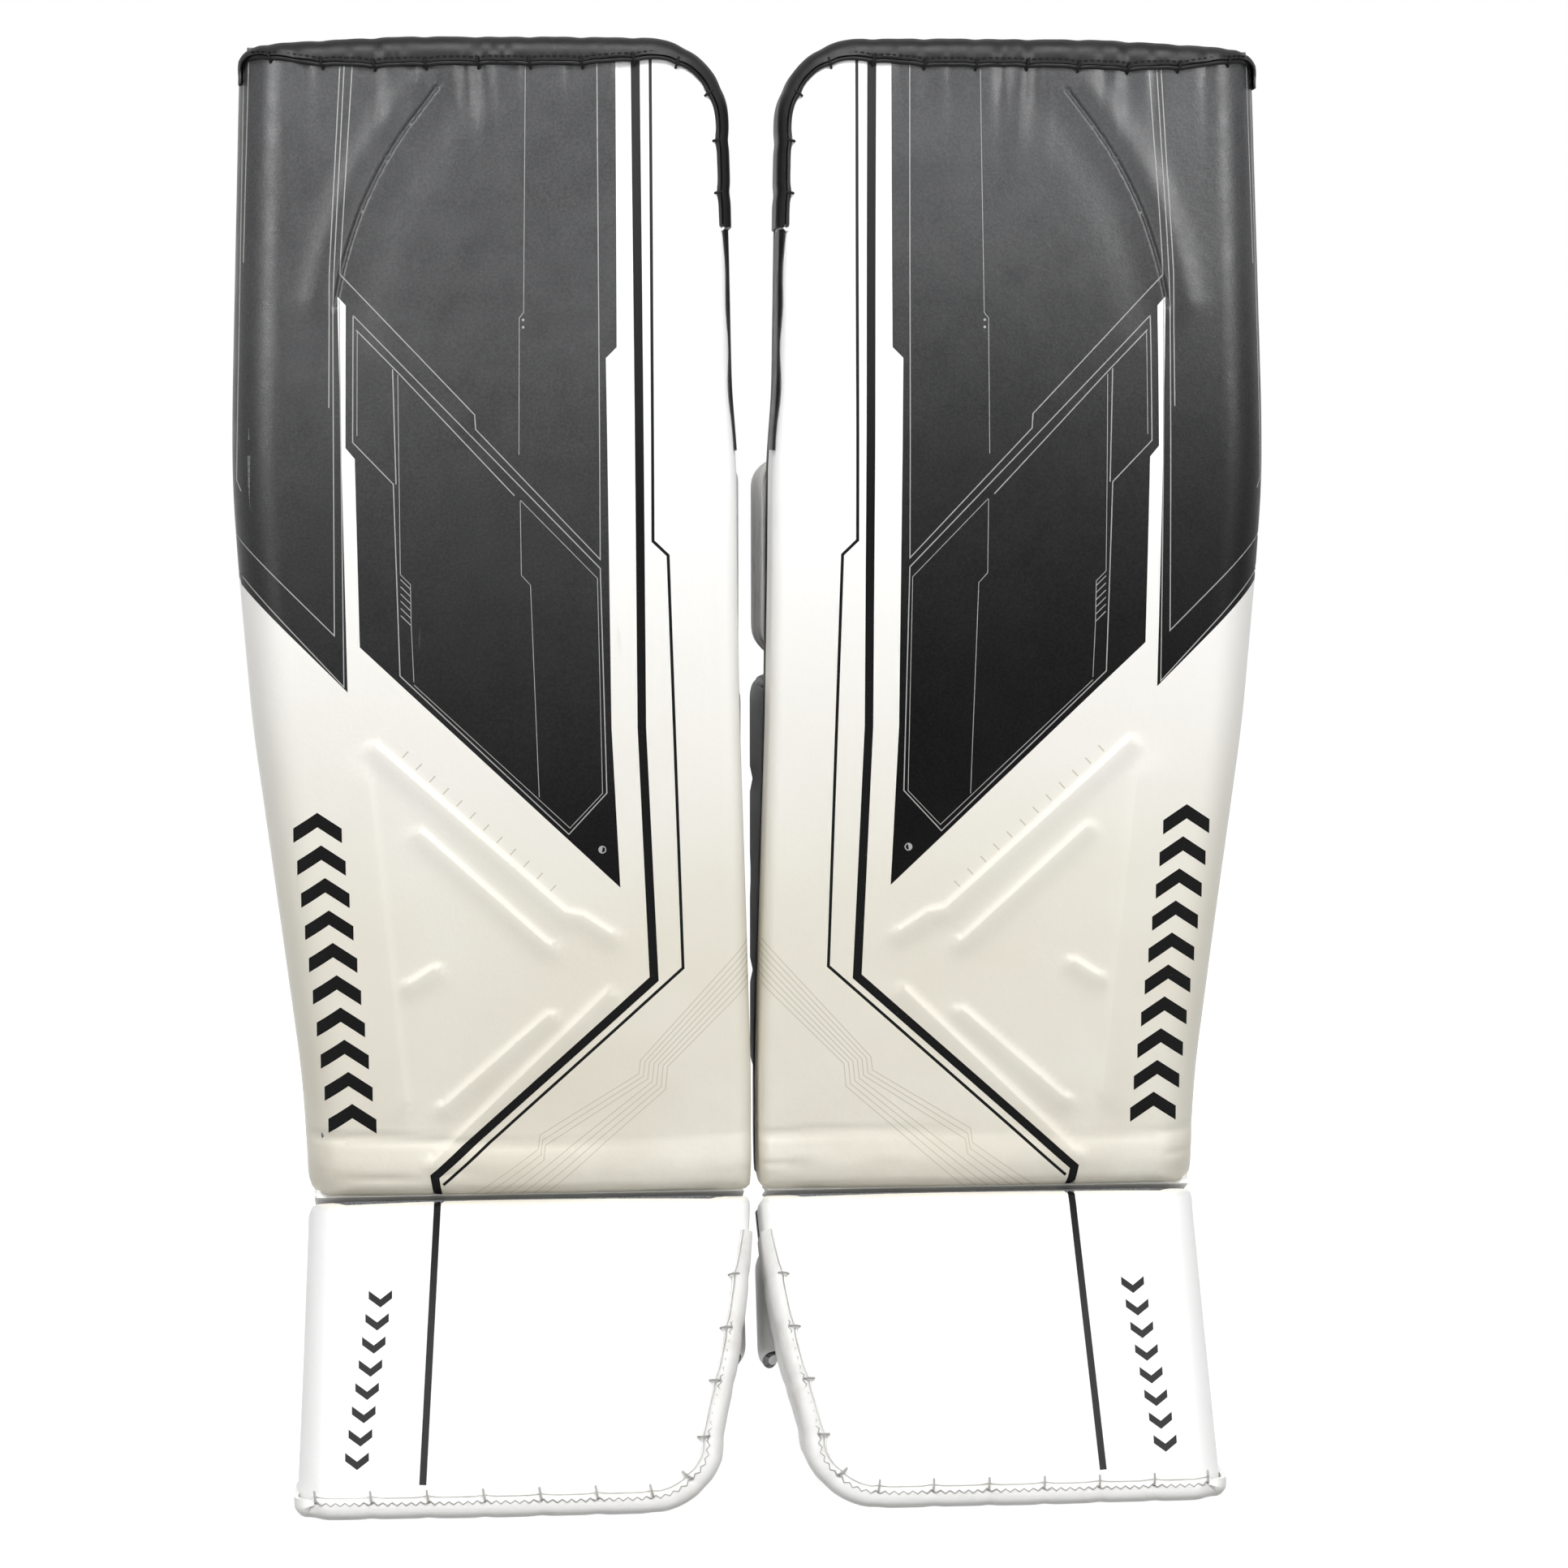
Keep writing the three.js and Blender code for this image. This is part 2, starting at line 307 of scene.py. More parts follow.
def tube(path, radius, sides=8, closed=False):
    """A round cord along points (x, s, d)."""
    path = np.asarray(path, float)
    ahead = np.roll(path, -1, 0) - np.roll(path, 1, 0)
    if not closed:
        ahead[0], ahead[-1] = path[1] - path[0], path[-1] - path[-2]
    ahead /= np.linalg.norm(ahead, axis=1, keepdims=True)
    up = np.array([0.0, 0.0, 1.0]) - ahead * ahead[:, 2:]
    weak = np.linalg.norm(up, axis=1) < 0.2
    up[weak] = np.cross(ahead[weak], [1.0, 0.0, 0.0])
    up /= np.linalg.norm(up, axis=1, keepdims=True)
    across = np.cross(ahead, up)
    angles = np.linspace(0, 2 * math.pi, sides, endpoint=False)
    radii = np.broadcast_to(radius, len(path))[:, None, None]
    ring = (np.cos(angles)[None, :, None] * across[:, None] * radii
            + np.sin(angles)[None, :, None] * up[:, None] * radii)
    return (path[:, None] + ring).reshape(-1, 3), loft_faces(len(path), sides, closed)


def stitches(shape, path, pick, pitch=4.6, length=3.2, radius=0.42):
    """A row of sewn stitches along points in space, each a short sunk thread."""
    places = resampled(path, pitch)
    for start, end in zip(places[:-1], places[1:]):
        step = (end - start) / np.linalg.norm(end - start)
        middle = (start + end) / 2
        line = [middle + step * length * t for t in (-0.5, -0.3, 0.3, 0.5)]
        shape.add(*tube(line, [0.12, radius, radius, 0.12], 6), pick)


def zigzag(path, pitch, width):
    """A path's points stepped from side to side, as a zigzag seam runs. The path is (x, s)."""
    line = resampled(path, pitch)
    side = np.where(np.arange(len(line)) % 2, 0.5, -0.5)[:, None] * width
    return line + left_of(line) * side


def slab(middle, normal, half):
    """A closed body from a grid of mid-points (rows, columns, 3), normals and half thicknesses."""
    rows, columns = middle.shape[:2]
    half = np.broadcast_to(half, (rows, columns))[..., None]
    front = (middle - normal * half).reshape(-1, 3)
    back = (middle + normal * half).reshape(-1, 3)
    faces = []
    for r in range(rows - 1):
        for c in range(columns - 1):
            a = r * columns + c
            quad = [a, a + 1, a + columns + 1, a + columns]
            faces += [quad, [len(front) + i for i in quad[::-1]]]
    border = [*range(columns), *[r * columns + columns - 1 for r in range(1, rows)]]
    border += [*range(rows * columns - 2, (rows - 1) * columns - 1, -1)]
    border += [r * columns for r in range(rows - 2, 0, -1)]
    for a, b in zip(border, border[1:] + border[:1]):
        faces.append([b, a, len(front) + a, len(front) + b])
    return np.vstack([front, back]), faces


# ---- materials ----
class Graph:
    """A new node material or world, with short ways to add the nodes that they share."""

    def __init__(self, name, kind=bpy.data.materials, shader="Principled BSDF", place="Object"):
        self.made = kind.new(name)
        self.made.use_nodes = True
        self.tree = self.made.node_tree
        self.shader = self.tree.nodes[shader]
        self.place = self.tree.nodes.new("ShaderNodeTexCoord").outputs[place]

    def node(self, kind, **inputs):
        made = self.tree.nodes.new(kind)
        for key, value in inputs.items():
            self.feed(made.inputs[key.replace("_", " ")], value)
        return made

    def feed(self, socket, value):
        if isinstance(value, bpy.types.NodeSocket):
            self.tree.links.new(value, socket)
        else:
            socket.default_value = value

    def set(self, **inputs):
        for key, value in inputs.items():
            self.feed(self.shader.inputs[key.replace("_", " ")], value)

    def stretched(self, x, y, z):
        node = self.node("ShaderNodeMapping", Vector=self.place, Scale=(x, y, z))
        return node.outputs["Vector"]

    def noise(self, scale, detail=3, rough=0.55, place=None):
        node = self.node("ShaderNodeTexNoise", Vector=place or self.place, Scale=scale,
                         Detail=detail, Roughness=rough)
        return node.outputs["Fac"]

    def cells(self, scale):
        return self.node("ShaderNodeTexVoronoi", Vector=self.place, Scale=scale).outputs["Distance"]

    def waves(self, scale, direction, distortion=0.0):
        node = self.node("ShaderNodeTexWave", Vector=self.place, Scale=scale,
                         Distortion=distortion)
        node.bands_direction = direction
        return node.outputs["Fac"]

    def span(self, value, low, high, start=0.0, end=1.0):
        node = self.node("ShaderNodeMapRange", Value=value, From_Min=low, From_Max=high,
                         To_Min=start, To_Max=end)
        return node.outputs["Result"]

    def math(self, operation, a, b=0.0):
        node = self.tree.nodes.new("ShaderNodeMath")
        node.operation = operation
        self.feed(node.inputs[0], a)
        self.feed(node.inputs[1], b)
        return node.outputs[0]

    def times(self, a, b):
        return self.math("MULTIPLY", a, b)

    def mix(self, factor, a, b):
        node = self.tree.nodes.new("ShaderNodeMix")
        node.data_type = "RGBA"
        self.feed(node.inputs["Factor"], factor)
        self.feed(node.inputs["A"], a)
        self.feed(node.inputs["B"], b)
        return node.outputs["Result"]

    def axis(self, letter):
        """One coordinate of the place, such as its height in metres above the ice for "Z"."""
        return self.node("ShaderNodeSeparateXYZ", Vector=self.place).outputs[letter]

    def bump(self, height, distance, strength=1.0, under=None):
        node = self.node("ShaderNodeBump", Height=height, Distance=distance, Strength=strength)
        if under is not None:
            self.feed(node.inputs["Normal"], under)
        return node.outputs["Normal"]


def leather_grain(graph, depth=0.00005):
    """Fine pebbles over soft unevenness, as bump."""
    pebbles = graph.span(graph.cells(1300), 0.0, 0.7)
    uneven = graph.noise(180, 4)
    return graph.bump(uneven, depth * 5, 0.5, graph.bump(pebbles, depth, 0.5))


def white_skin():
    """Coated white leather, tinted cream low on the shin and blotched darker towards the shin's foot,
    with fine scuffs.
    """
    g = Graph("white_skin")
    high = g.axis("Z")
    # The shin's white is tinted cream low down.
    low_shin = g.times(g.span(high, 0.158, 0.164), g.span(high, 0.56, 0.3))
    patches = g.span(g.noise(7, 3), 0.3, 0.7)
    cream = g.times(low_shin, g.span(patches, 0, 1, 0.7, 1))
    colour = g.mix(cream, (0.9, 0.9, 0.895, 1), (0.72, 0.68, 0.57, 1))
    # Blotches, darker and browner towards the shin's foot.
    low_blotches = g.times(g.span(high, 0.28, 0.17), g.span(g.noise(14, 5, 0.65), 0.4, 0.75))
    colour = g.mix(g.times(g.times(low_blotches, low_shin), 0.6), colour,
                   (0.6, 0.56, 0.46, 1))
    scuff = g.noise(60, 2, place=g.stretched(1, 1, 0.12))
    scuffs = g.times(g.span(scuff, 0.70, 0.76), g.span(g.noise(12, 2), 0.5, 0.62))
    colour = g.mix(g.times(scuffs, 0.3), colour, (0.42, 0.41, 0.38, 1))
    g.set(Base_Color=colour, Roughness=g.span(g.noise(40, 4), 0.3, 0.7, 0.4, 0.53),
          Specular_IOR_Level=0.35, Normal=leather_grain(g))
    return g.made


def black_print_with_sheen(side, fade_and_sheen_power):
    """Black print on the same leather, from near black to grey up the leg: the grey is partly a printed
    fade and partly painted sheen.
    """
    g = Graph(f"black_print_with_sheen_{side}")
    # Painted sheen, partly a printed fade: the colour, the grain's light specks and the specular level
    # rise with height.
    fade_and_sheen = g.span(g.axis("Z"), 0.33, 0.76)
    fade_and_sheen = g.math("POWER", fade_and_sheen, fade_and_sheen_power)
    colour = g.mix(fade_and_sheen, (0.001, 0.001, 0.001, 1), (0.042, 0.043, 0.0455, 1))
    grain = g.span(g.noise(700, 3), 0.35, 0.7)
    mottled = g.times(grain, g.span(fade_and_sheen, 0, 1, 0.03, 0.3))
    clouds = g.span(g.noise(10, 3, 0.55), 0.38, 0.66)
    colour = g.mix(g.times(clouds, 0.5), colour, (0.008, 0.008, 0.009, 1))
    colour = g.mix(mottled, colour, (0.12, 0.121, 0.125, 1))
    scuff = g.noise(90, 2, place=g.stretched(1, 1, 0.1))
    scuffs = g.times(g.span(scuff, 0.72, 0.78), g.span(g.noise(10, 2), 0.5, 0.6))
    colour = g.mix(g.times(scuffs, 0.5), colour, (0.25, 0.25, 0.25, 1))
    g.set(Base_Color=colour, Roughness=g.span(g.noise(55, 4), 0.3, 0.7, 0.4, 0.5),
          Specular_IOR_Level=g.span(fade_and_sheen, 0, 0.6, 0.06, 0.5), Normal=leather_grain(g, 0.00007))
    return g.made


def print_line(name, colour, dark, faded_and_sheen=None):
    """A printed line, slightly worn so that what is under it shows through in specks. It can be painted
    greyer high on the leg and on the boot: partly a printed fade, partly painted sheen.
    """
    g = Graph(name)
    if faded_and_sheen:
        # Painted sheen, partly a printed fade: the line greys towards the top of the leg and on the
        # boot.
        pale_and_sheen = g.math("MAXIMUM", g.span(g.axis("Z"), 0.55, 0.78), g.span(g.axis("Z"), 0.16, 0.1))
        colour = g.mix(pale_and_sheen, colour, faded_and_sheen)
    worn = g.span(g.noise(700, 3), 0.66, 0.72)
    g.set(Base_Color=g.mix(g.times(worn, 0.6), colour, dark), Roughness=0.5,
          Specular_IOR_Level=0.08, Normal=leather_grain(g))
    return g.made


def binding_leather(name, colour, worn, gloss=0.5):
    """Soft binding leather, creased across and rubbed on its high spots."""
    g = Graph(name)
    rubbed = g.span(g.noise(45, 5, 0.6), 0.5, 0.75)
    creases = g.noise(300, 3, place=g.stretched(1, 1, 0.4))
    normal = g.bump(creases, 0.0003, 0.4, leather_grain(g))
    g.set(Base_Color=g.mix(g.times(rubbed, 0.7), colour, worn), Normal=normal,
          Specular_IOR_Level=gloss, Roughness=g.span(g.noise(80, 3), 0.3, 0.7, 0.42, 0.54))
    return g.made


def woven(name, colour, thread):
    """Plain-woven cloth: two crossed sets of threads, 1.1 mm apart."""
    g = Graph(name)
    scale = 1 / 0.0011 / 3.2
    weave = g.times(g.waves(scale, "DIAGONAL"), g.waves(scale, "Z"))
    spots = g.span(g.noise(30, 4), 0.3, 0.7)
    tone = g.times(g.span(weave, 0, 1), g.span(spots, 0, 1, 0.6, 1))
    g.set(Base_Color=g.mix(tone, colour, thread), Roughness=0.85, Sheen_Weight=0.25,
          Normal=g.bump(weave, 0.0004, 0.7))
    return g.made


def webbing_cloth():
    """Nylon webbing with ribs across it and a frayed sheen."""
    g = Graph("webbing")
    ribs = g.waves(260, "X", 0.6)
    cross = g.waves(330, "Z", 0.4)
    weave = g.times(ribs, cross)
    fuzz = g.span(g.noise(900, 2), 0.4, 0.7)
    tone = g.times(weave, fuzz)
    g.set(Base_Color=g.mix(tone, (0.008, 0.008, 0.009, 1), (0.05, 0.05, 0.053, 1)),
          Roughness=0.75, Sheen_Weight=0.3, Normal=g.bump(weave, 0.0005, 0.8))
    return g.made


def brushed_lining(name, colour, lit):
    """Short brushed nap over foam, lighter where it has been stroked."""
    g = Graph(name)
    nap = g.noise(1500, 3, place=g.stretched(1, 1, 0.35))
    strokes = g.span(g.noise(16, 3), 0.35, 0.65)
    g.set(Base_Color=g.mix(g.times(g.span(nap, 0.3, 0.7), strokes), colour, lit),
          Roughness=0.9, Sheen_Weight=0.4, Sheen_Roughness=0.4, Normal=g.bump(nap, 0.0004, 0.6))
    return g.made


def foam():
    """Closed-cell foam with visible cells and a cut skin."""
    g = Graph("foam")
    cells = g.cells(700)
    tone = g.span(cells, 0, 0.6)
    g.set(Base_Color=g.mix(tone, (0.05, 0.052, 0.056, 1), (0.13, 0.135, 0.14, 1)),
          Roughness=0.95, Normal=g.bump(cells, 0.0005, 0.6))
    return g.made


def plastic_sheet():
    """Milky polyethylene with faint extrusion streaks."""
    g = Graph("plastic_sheet")
    streaks = g.noise(120, 2, place=g.stretched(1, 1, 0.05))
    g.set(Base_Color=g.mix(streaks, (0.62, 0.63, 0.64, 1), (0.75, 0.76, 0.77, 1)),
          Roughness=g.span(streaks, 0.3, 0.7, 0.3, 0.45), Normal=g.bump(streaks, 0.0001, 0.3))
    return g.made


def thread(name, colour, lit):
    """Twisted sewing thread."""
    g = Graph(name)
    twist = g.waves(900, "DIAGONAL")
    g.set(Base_Color=g.mix(twist, colour, lit), Roughness=0.7, Normal=g.bump(twist, 0.0002, 0.5),
          Specular_IOR_Level=0.15)
    return g.made


def rivet_metal():
    """Small nickel rivet with fine scratches."""
    g = Graph("rivet_metal")
    scratches = g.noise(1500, 3)
    g.set(Base_Color=g.mix(scratches, (0.55, 0.55, 0.56, 1), (0.8, 0.8, 0.8, 1)), Metallic=1.0,
          Roughness=g.span(scratches, 0.3, 0.7, 0.22, 0.4), Normal=g.bump(scratches, 0.00005, 0.4))
    return g.made


WHITE = white_skin()
WHITE_PLAIN = binding_leather("white_plain", (0.84, 0.84, 0.83, 1), (0.7, 0.69, 0.65, 1))
# The right pad's black is painted lighter at mid height than the left's: painted sheen that differs
# between the pads.
BLACK = {"left": black_print_with_sheen("left", 3), "right": black_print_with_sheen("right", 1.6)}
# The dark line greys up the leg with the same painted sheen as the black print.
LINE_DARK = print_line("line_dark", (0.004, 0.004, 0.004, 1), (0.03, 0.03, 0.029, 1),
                       (0.036, 0.036, 0.037, 1))
LINE_GREY = print_line("line_grey", (0.38, 0.38, 0.37, 1), (0.1, 0.1, 0.1, 1))
LINE_FAINT = print_line("line_faint", (0.56, 0.52, 0.42, 1), (0.68, 0.65, 0.56, 1))
BINDING_BLACK = binding_leather("binding_black", (0.005, 0.005, 0.005, 1),
                                (0.016, 0.016, 0.016, 1), 0.32)
PIPING_BLACK = binding_leather("piping_black", (0.002, 0.002, 0.002, 1),
                               (0.008, 0.008, 0.008, 1), 0.2)
BINDING_WHITE = binding_leather("binding_white", (0.8, 0.795, 0.78, 1), (0.62, 0.6, 0.55, 1))
LINER = woven("liner", (0.014, 0.0145, 0.016, 1), (0.045, 0.046, 0.05, 1))
WEBBING = webbing_cloth()
HOOKS = brushed_lining("hook_and_loop", (0.01, 0.01, 0.011, 1), (0.045, 0.045, 0.047, 1))
GREY_NAP = brushed_lining("grey_nap", (0.2, 0.205, 0.212, 1), (0.34, 0.345, 0.35, 1))
FOAM = foam()
SHEET = plastic_sheet()
THREAD_WHITE = thread("thread_white", (0.6, 0.59, 0.56, 1), (0.85, 0.84, 0.8, 1))
THREAD_GREY = thread("thread_grey", (0.3, 0.3, 0.29, 1), (0.5, 0.49, 0.47, 1))
THREAD_BLACK = thread("thread_black", (0.004, 0.004, 0.004, 1), (0.015, 0.015, 0.015, 1))
RIVET = rivet_metal()


# ---- the surface of the leg's face ----
OUTER_ROUND, INNER_ROUND, TOP_ROUND, END_ROUND = 26, 10, 9, 8
TOP_CORNER = 44
TOE_END = -(BOOT - EDGE)
TOE_CORNER, TOE_CORNER_X = 41, 64
TIE_PITCH = 28.5
PUFF = 3.2  # how far the shin's foot bulges


def rounded(t, radius):
    """Depth of a round edge at t in from it. Outside the edge it goes on falling steeply."""
    u = t / radius
    curve = 1 - np.sqrt(np.clip(1 - (1 - np.clip(u, 0, 1)) ** 2, 0, 1))
    return radius * np.where(u < 0, 1 - 8 * u, curve)


def joined(depths):
    """Depths of several round edges, run smoothly together where they meet."""
    return np.cbrt(sum(np.maximum(depth, 0) ** 3 for depth in depths))


def ridge(x, s, path, height, widths, toward=(0, 1)):
    """A raised line along a path, with one width on the side `toward` and another beyond it."""
    apart = distance(x, s, path)
    nearer = apart - distance(x - 1.5 * toward[0], s - 1.5 * toward[1], path)
    share = np.clip(0.5 + nearer / 2, 0, 1)
    return height * np.exp(-(apart / (widths[0] * share + widths[1] * (1 - share))) ** 2)


def round_corner(x, s, from_in, from_end, corner_x, corner_s, radius):
    """The distances in from two edges, with the corner between them rounded off."""
    in_corner = (x < corner_x) & (from_end < radius)
    from_corner = radius - np.hypot(x - corner_x, s - corner_s)
    return np.where(in_corner, from_corner, from_in), np.where(in_corner, 99.0, from_end)


def crown(x, low, high, rise):
    """How much further back the face lies at x, towards either side."""
    return rise * ((x - (low + high) / 2) / ((high - low) / 2)) ** 2


def waviness(x, s, seed):
    """Slow unevenness of padded leather, between -1 and 1, the same on every run."""
    total = 0
    for k, (fx, fs) in enumerate([(0.021, 0.013), (-0.034, 0.027), (0.011, -0.041), (0.057, 0.033)]):
        total = total + np.sin(fx * x + fs * s + seed * 1.7 + k * 2.1) / (k + 1.5)
    return total / 1.6


V_RIDGES = [
    [(211, 252), (107, 158), (97, 156), (82, 146)],
    [(187, 204), (117, 140)],
    [(84, 112), (181, 18)],
    [(117, 100), (175, 49)],
    [(193, 119), (181, 127)],
]
OUTER_PANEL = [(216, 232), (198, 52)]
THIGH_ARC = smooth([(231, 496), (226, 519), (215, 551), (198, 583), (174, 615)], 14)
FOLDS = [(138, 1.0), (147, -1.2), (155, 1.3), (164, -0.9), (207, 0.9), (199, -0.6), (96, 0.5)]


def leg_depth(x, s, seed=0.0):
    """Depth of the shin and thigh skin behind the face plane, with its padding and embossing."""
    low, high = inner_edge(s), outer_edge(s)
    from_in, from_top = round_corner(x, s, x - low, top_edge(x) - s, low + TOP_CORNER,
                                     TOP - EDGE - TOP_CORNER, TOP_CORNER)
    depth = joined([rounded(high - x, OUTER_ROUND), rounded(from_in, INNER_ROUND),
                    rounded(from_top, TOP_ROUND), rounded(s + LIP, END_ROUND)])
    depth = depth + crown(x, low, high, 1.8) + 0.7 * waviness(x, s, seed)
    for path in V_RIDGES:
        depth = depth - ridge(x, s, path, 1.7, (2.8, 8))
    depth = depth - ridge(x, s, OUTER_PANEL, 1.3, (14, 3), (1, 0))
    return depth + thigh_relief(x, s, from_top, seed) + foot_relief(x, s, seed)


def thigh_relief(x, s, from_top, seed):
    """The thigh rise's creases: a long arc, soft folds under the binding, and dimples at its ties."""
    crease = 1.8 * np.exp(-(distance(x, s, THIGH_ARC) / 1.2) ** 2)
    raised = np.exp(-(distance(x - 10, s - 3, THIGH_ARC) / 9) ** 2)
    hollow = np.exp(-(distance(x + 12, s + 6, THIGH_ARC) / 13) ** 2)
    relief = crease - 1.8 * raised + 1.2 * hollow
    for centre, size in FOLDS:
        run = np.clip((s - 560) / 50, 0, 1) * np.exp(-((s - 640) / 55) ** 2)
        lean = centre + (s - 600) * 0.06
        relief = relief + 1.1 * size * run * np.exp(-((x - lean) / 6) ** 2)
    tie = (0.5 + 0.5 * np.cos((x - 24 + 4 * seed) / TIE_PITCH * 2 * math.pi)) ** 6
    near_top = np.exp(-np.maximum(from_top, 0) / 20) * (x > 40)
    return relief + (1.8 * tie - 0.8) * near_top


def foot_relief(x, s, seed):
    """The shin's foot bulges over the boot, below a fold that runs across it."""
    bulge = -PUFF * np.exp(-((s - 13) / 13) ** 2)
    line = 29 + 2.5 * np.sin(x / 41 + seed)
    fold = 1.3 * np.exp(-((s - line) / 3.2) ** 2) * (0.6 + 0.4 * np.sin(x / 53 + 2 + seed))
    low = 12 + 3 * np.sin(x / 29 + 2 * seed)
    crease = 0.8 * np.exp(-((s - low) / 2.0) ** 2) * np.clip(np.sin(x / 37 + 0.6 + seed), 0, 1)
    return bulge + fold + crease


def boot_depth(x, s, seed=0.0):
    """Depth of the boot's skin. Its top is tucked under the shin's padded end."""
    low, high = inner_edge(s), outer_edge(s)
    from_in, from_end = round_corner(x, s, x - low, s - TOE_END, TOE_CORNER_X,
                                     TOE_END + TOE_CORNER, TOE_CORNER)
    depth = joined([rounded(high - x, 20), rounded(from_in, 9), rounded(from_end, 8),
                    rounded(BOOT_TOP - s, 7)])
    return depth + crown(x, low, high, 2.2) + 0.4 * waviness(x, s, seed + 3)


# ---- the printed design ----
FIELD = [(76, 660), (76.5, 473), (82.5, 467), (80.5, 262), (76, 172), (219.5, 308), (221, 412),
         (226, 418), (225, 496), (229.5, 501), (229.5, 660)]
OUTER_BAND = [(229.5, 660), (229.5, 501), (226.5, 283), (285, 342), (287.5, 351), (300, 357),
              (300, 660)]
THICK_LINE = [(65.4, 660), (63.6, 262), (57.3, 120), (181.2, 9.5), (178.6, -8)]
THIN_LINE = [(57, 660), (57, 366), (48.6, 358), (41, 126), (176.5, 4.5)]
HAIRLINES = [
    [(217.5, 660), (228, 513), (155, 436), (154.5, 428), (86.3, 356), (86.3, 660)],
    [(222.2, 660), (231.2, 513), (232, 494.5), (233.4, 314.5), (287.5, 369)],
    [(224.5, 660), (233.7, 513), (234.8, 440)],
    [(228.5, 499), (228.5, 286), (286.5, 349)],
    [(278.5, 660), (286.6, 400), (284, 394)],
    [(275.4, 660), (281, 520)],
    [(221, 490.5), (86.3, 351), (83.3, 225.5), (104.6, 202.5), (197.5, 292), (200, 398), (222, 421),
     (221, 490.5)],
    [(219.4, 482.5), (197.5, 460), (133.5, 391.5)],
    [(199.7, 461), (198.5, 398)],
]
FINE_LINES = [
    [(196.9, 458), (196.7, 348.2), (191.2, 342.6), (191, 320), (189.9, 288.6)],
    [(130.2, 389), (87.9, 345.5), (85.7, 225.3), (104, 206), (189.9, 287)],
    [(218.8, 482), (219.6, 424.5)],
    [(125, 660), (127.6, 492), (130, 489), (130.8, 414)],
    [(130.3, 388.5), (130, 347.5), (125, 342), (121, 223.5)],
]
HATCH_COUNT, HATCH_PITCH = 6, 4.0
FAINT_COUNT = 7


def chevrons(x0, x1, s0, s1, count, thick, rise, lean):
    """A ladder of chevrons between two heights, leaning with the pad's outer edge."""
    marks = []
    for k in range(count):
        low = s0 + (s1 - s0 - thick - rise) * k / (count - 1)
        shift = lean * (low - s0) / (s1 - s0)
        left, middle, right = x0 + shift, (x0 + x1) / 2 + shift, x1 + shift
        marks.append([(left, low), (middle, low + rise), (right, low), (right, low + thick),
                      (middle, low + rise + thick), (left, low + thick)])
    return marks


def faint_line(k):
    """One of the pale lines that run from the inner edge down to the boot break."""
    t = k / (FAINT_COUNT - 1)
    line = [(2, 143 - 25 * t), (65.2 - 15.3 * t, 73.8 - 3.8 * t), (66.1 - 15 * t, 66.2 - 9.2 * t)]
    if k < 3:
        line += [(122 - 1.5 * k, 32 - 3 * k), (123 - 1.5 * k, 24 - 3 * k)]
    return line + [(168 - 42 * t, -8)]


def leg_art():
    """The leg's printed areas, each as (material pick, polygon); later ones cover earlier ones."""
    art = [(1, FIELD), (1, OUTER_BAND)]
    art.append((2, stroke(THICK_LINE, [5.0, 4.8, 5.0, 4.8, 4.6])))
    art.append((2, stroke(THIN_LINE, 1.7)))
    art += [(3, stroke(line, 0.6)) for line in HAIRLINES]
    art += [(3, stroke(line, 0.36)) for line in FINE_LINES]
    for k in range(HATCH_COUNT):
        s = 345.5 - k * HATCH_PITCH
        art.append((3, stroke([(196.7, s), (191.3, s - 5.4)], 0.45)))
    art += [(3, arc(127.9, s, 0.75, 0, 315, 8)) for s in (484, 488)]
    art.append((3, arc(86, 193.6, 2.2, 0, 345, 20)))
    art.append((1, arc(86, 193.6, 1.6, 100, 280, 12)))
    art += [(2, mark) for mark in chevrons(213.5, 240.5, 34, 216, 10, 8.2, 9, 19)]
    art += [(4, stroke(faint_line(k), 0.55)) for k in range(FAINT_COUNT)]
    for k in range(12):
        x, s = 112 + k * 7.4, 174 + k * 6.9
        art.append((4, stroke([(x, s), (x + 3.2, s - 3.4)], 0.8)))
    return art


BOOT_LINE = [(179.3, 3), (189, -164)]


def boot_art():
    """The boot's printed line and its short ladder of chevrons."""
    art = [(2, stroke(BOOT_LINE, 3.9))]
    art += [(2, mark) for mark in chevrons(231.5, 218.5, -150, -60, 8, 4.6, -5, -13)]
    return art


# ---- skins ----
INSETS = [0.4, 1.2, 2.4, 4, 6.2, 9, 12.5, 17, 22]  # rows of points in from a skin's edge
GRID = 3.4


OFFSETS = [-7, -4.8, -3.2, -1.8, -0.8, 0, 0.8, 1.8, 3.2]  # rows either side of fine relief


def kept_inside(places, outline, clear):
    """The places that are inside an outline, more than `clear` from it."""
    return places[inside(*places.T, outline) & (distance(*places.T, looped(outline)) > clear)]


def grid_inside(outline, spacing, clear):
    """A square grid of places inside an outline."""
    low, high = outline.min(0), outline.max(0)
    axes = np.meshgrid(*[np.arange(low[k], high[k], spacing) for k in (0, 1)])
    return kept_inside(np.stack([axis.ravel() for axis in axes], 1), outline, clear)


def filler_points(outline, refine):
    """Places inside an outline: close rows along its edge, a grid, and rows along fine relief."""
    steps = left_of(outline, closed=True)
    places = []
    for inset in INSETS:
        row = outline + steps * inset
        places.append(row[distance(*row.T, looped(outline)) > inset * 0.93])
    places.append(grid_inside(outline, GRID, INSETS[-1] + 1.5))
    for path in refine:
        line = resampled(path, 2.2)
        left = left_of(line)
        rows = np.vstack([line + left * offset for offset in OFFSETS])
        places.append(kept_inside(rows, outline, 1.5))
    return np.vstack(places)


def delaunay(points, edges, border):
    """Triangles through plane points that keep `edges` and the loop of the first `border` points."""
    flat = [Vector(point) for point in points]
    verts, _, faces, *_ = delaunay_2d_cdt(flat, edges, [list(range(border))], 1, 0.01)
    return np.array([tuple(vert) for vert in verts]), np.array([list(face) for face in faces])


